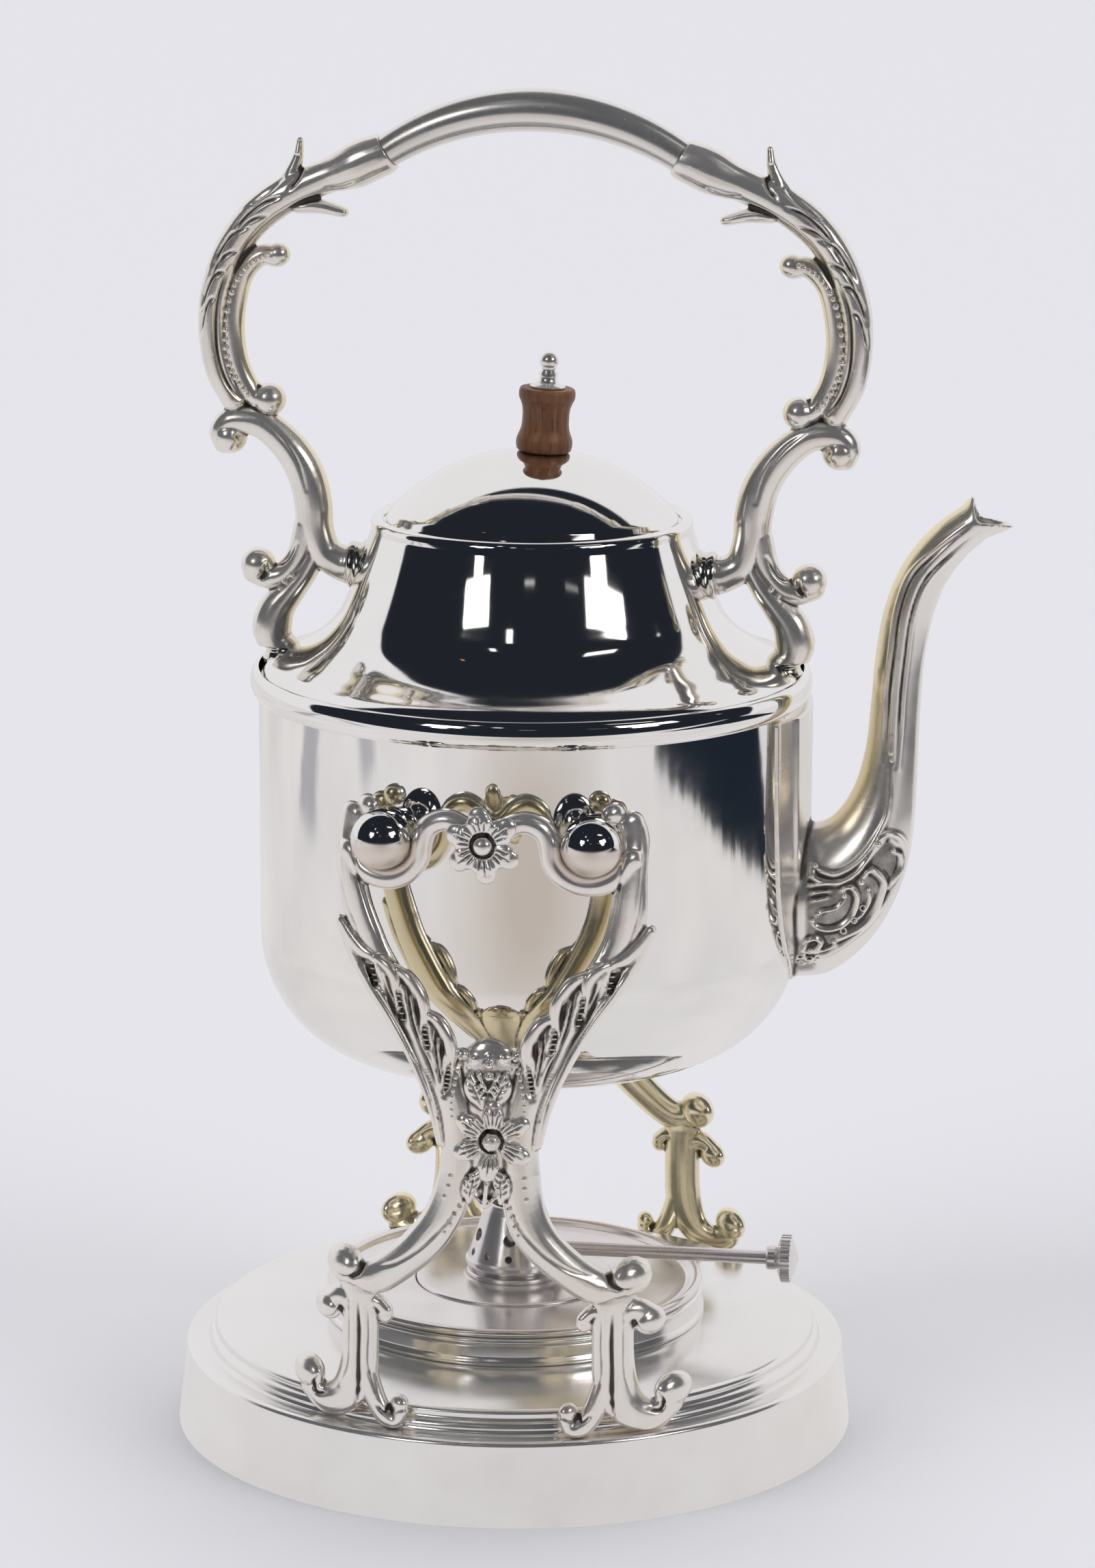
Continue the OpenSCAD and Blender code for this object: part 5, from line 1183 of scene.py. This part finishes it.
def lamp_patch(azimuth, height, wide, tall, slope, edge=0.02):
    """1 inside a soft rectangle of the sky, azimuth from the camera's own direction; sizes are halves, in degrees."""
    turn = math.atan2(-AHEAD_Y, -AHEAD_X) + math.radians(azimuth)
    across = along(sky, way, -math.sin(turn), math.cos(turn))
    toward = along(sky, way, math.cos(turn), math.sin(turn))
    angle = sky.sums("ARCTAN2", across, toward)
    flat = sky.sums("SQRT", sky.sums("ADD", sky.sums("MULTIPLY", across, across), sky.sums("MULTIPLY", toward, toward)))
    lift = sky.sums("SUBTRACT", sky.sums("ARCTAN2", way["Z"], flat), sky.sums("MULTIPLY", angle, slope))
    inside = [sky.sums("SUBTRACT", math.radians(half), sky.sums("ABSOLUTE", off)) for half, off in (
        (wide, angle), (tall, sky.sums("SUBTRACT", lift, math.radians(height))))]
    return sky.sums("MULTIPLY", *(sky.sums("DIVIDE", share, edge, clamp=True) for share in inside))


AHEAD_X, AHEAD_Y = -0.13431181, 0.96487573
front_half = sky.sums("ADD", along(sky, way, -AHEAD[0], -AHEAD[1]), sky.sums("MULTIPLY", way["Z"], 0.288))
dim_side = sky.sums("DIVIDE", sky.sums("ADD", front_half, 0.161), 0.02, clamp=True)
room = sky.blend(dim_side, (0.80, 0.79, 0.81), DIM)
for azimuth, height, wide, tall, slope, colour in (
    (-38, 28, 9, 6, 0, LAMP), (-38, 19, 3.5, 4, 0, LAMP), (51, 28, 14, 6, 0, LAMP), (48, 19, 6, 4, 0, LAMP),
    (54, 52, 11, 2.6, -0.35, (1.6, 1.6, 1.6)), (-29, 50, 2.6, 3, 0, (1.6, 1.6, 1.6)), (-15, 38, 2.6, 2.6, 0, (1.6, 1.6, 1.6)),
    (-1.5, 25, 4, 0.7, 0, (1.2, 1.2, 1.2)), (28, 25, 5, 0.7, 0, (0.6, 0.6, 0.6)), (88, 27, 1.6, 1.6, 0, (0.8, 0.8, 0.8)),
    (-62, 60, 1.6, 1.6, 0, (0.8, 0.3, 0.08))
):
    room = sky.blend(lamp_patch(azimuth, height, wide, tall, slope), room, colour)
path_of = sky.add("ShaderNodeLightPath").outputs
seen = sky.blend(path_of["Is Glossy Ray"], (0.42, 0.42, 0.43), room)
seen = sky.blend(path_of["Is Camera Ray"], seen, (0.785, 0.775, 0.825))
air, end = sky.add("ShaderNodeBackground"), sky.add("ShaderNodeOutputWorld")
sky.feed(air.inputs["Color"], seen)
sky.feed(air.inputs["Strength"], 1.0)
sky.feed(end.inputs["Surface"], air.outputs["Background"])

for name, place, power in (
    ("left_lamp", (-1.3, -1.1, 1.5), 0.85), ("right_lamp", (1.6, -0.7, 1.4), 0.75), ("top_lamp", (0.1, 0.5, 2.0), 0.9)
):
    lamp = bpy.data.lights.new(name, "SUN")
    lamp.angle = 0.7
    lamp.energy = power
    holder = put(name, lamp)
    holder.location = place
    holder.rotation_euler = (Vector((0, 0, 0.15)) - Vector(place)).to_track_quat("-Z", "Y").to_euler()
    holder.visible_glossy = False
    holder.visible_camera = False

camera = bpy.data.cameras.new("camera")
camera.lens = 122.5
camera.sensor_width = 36
camera.clip_end = 50
eye = put("camera", camera)
right = Vector((0.9902888, 0.13894642, 0.00468843))
up = Vector((-0.03589463, 0.22295451, 0.97416778))
forward = Vector((AHEAD_X, AHEAD_Y, -0.22577678))
eye.matrix_world = Matrix.Translation((0.2013, -1.3855, 0.5018)) @ Matrix((right, up, -forward)).transposed().to_4x4()
bpy.context.scene.camera = eye
bpy.context.scene.view_settings.view_transform = "Standard"
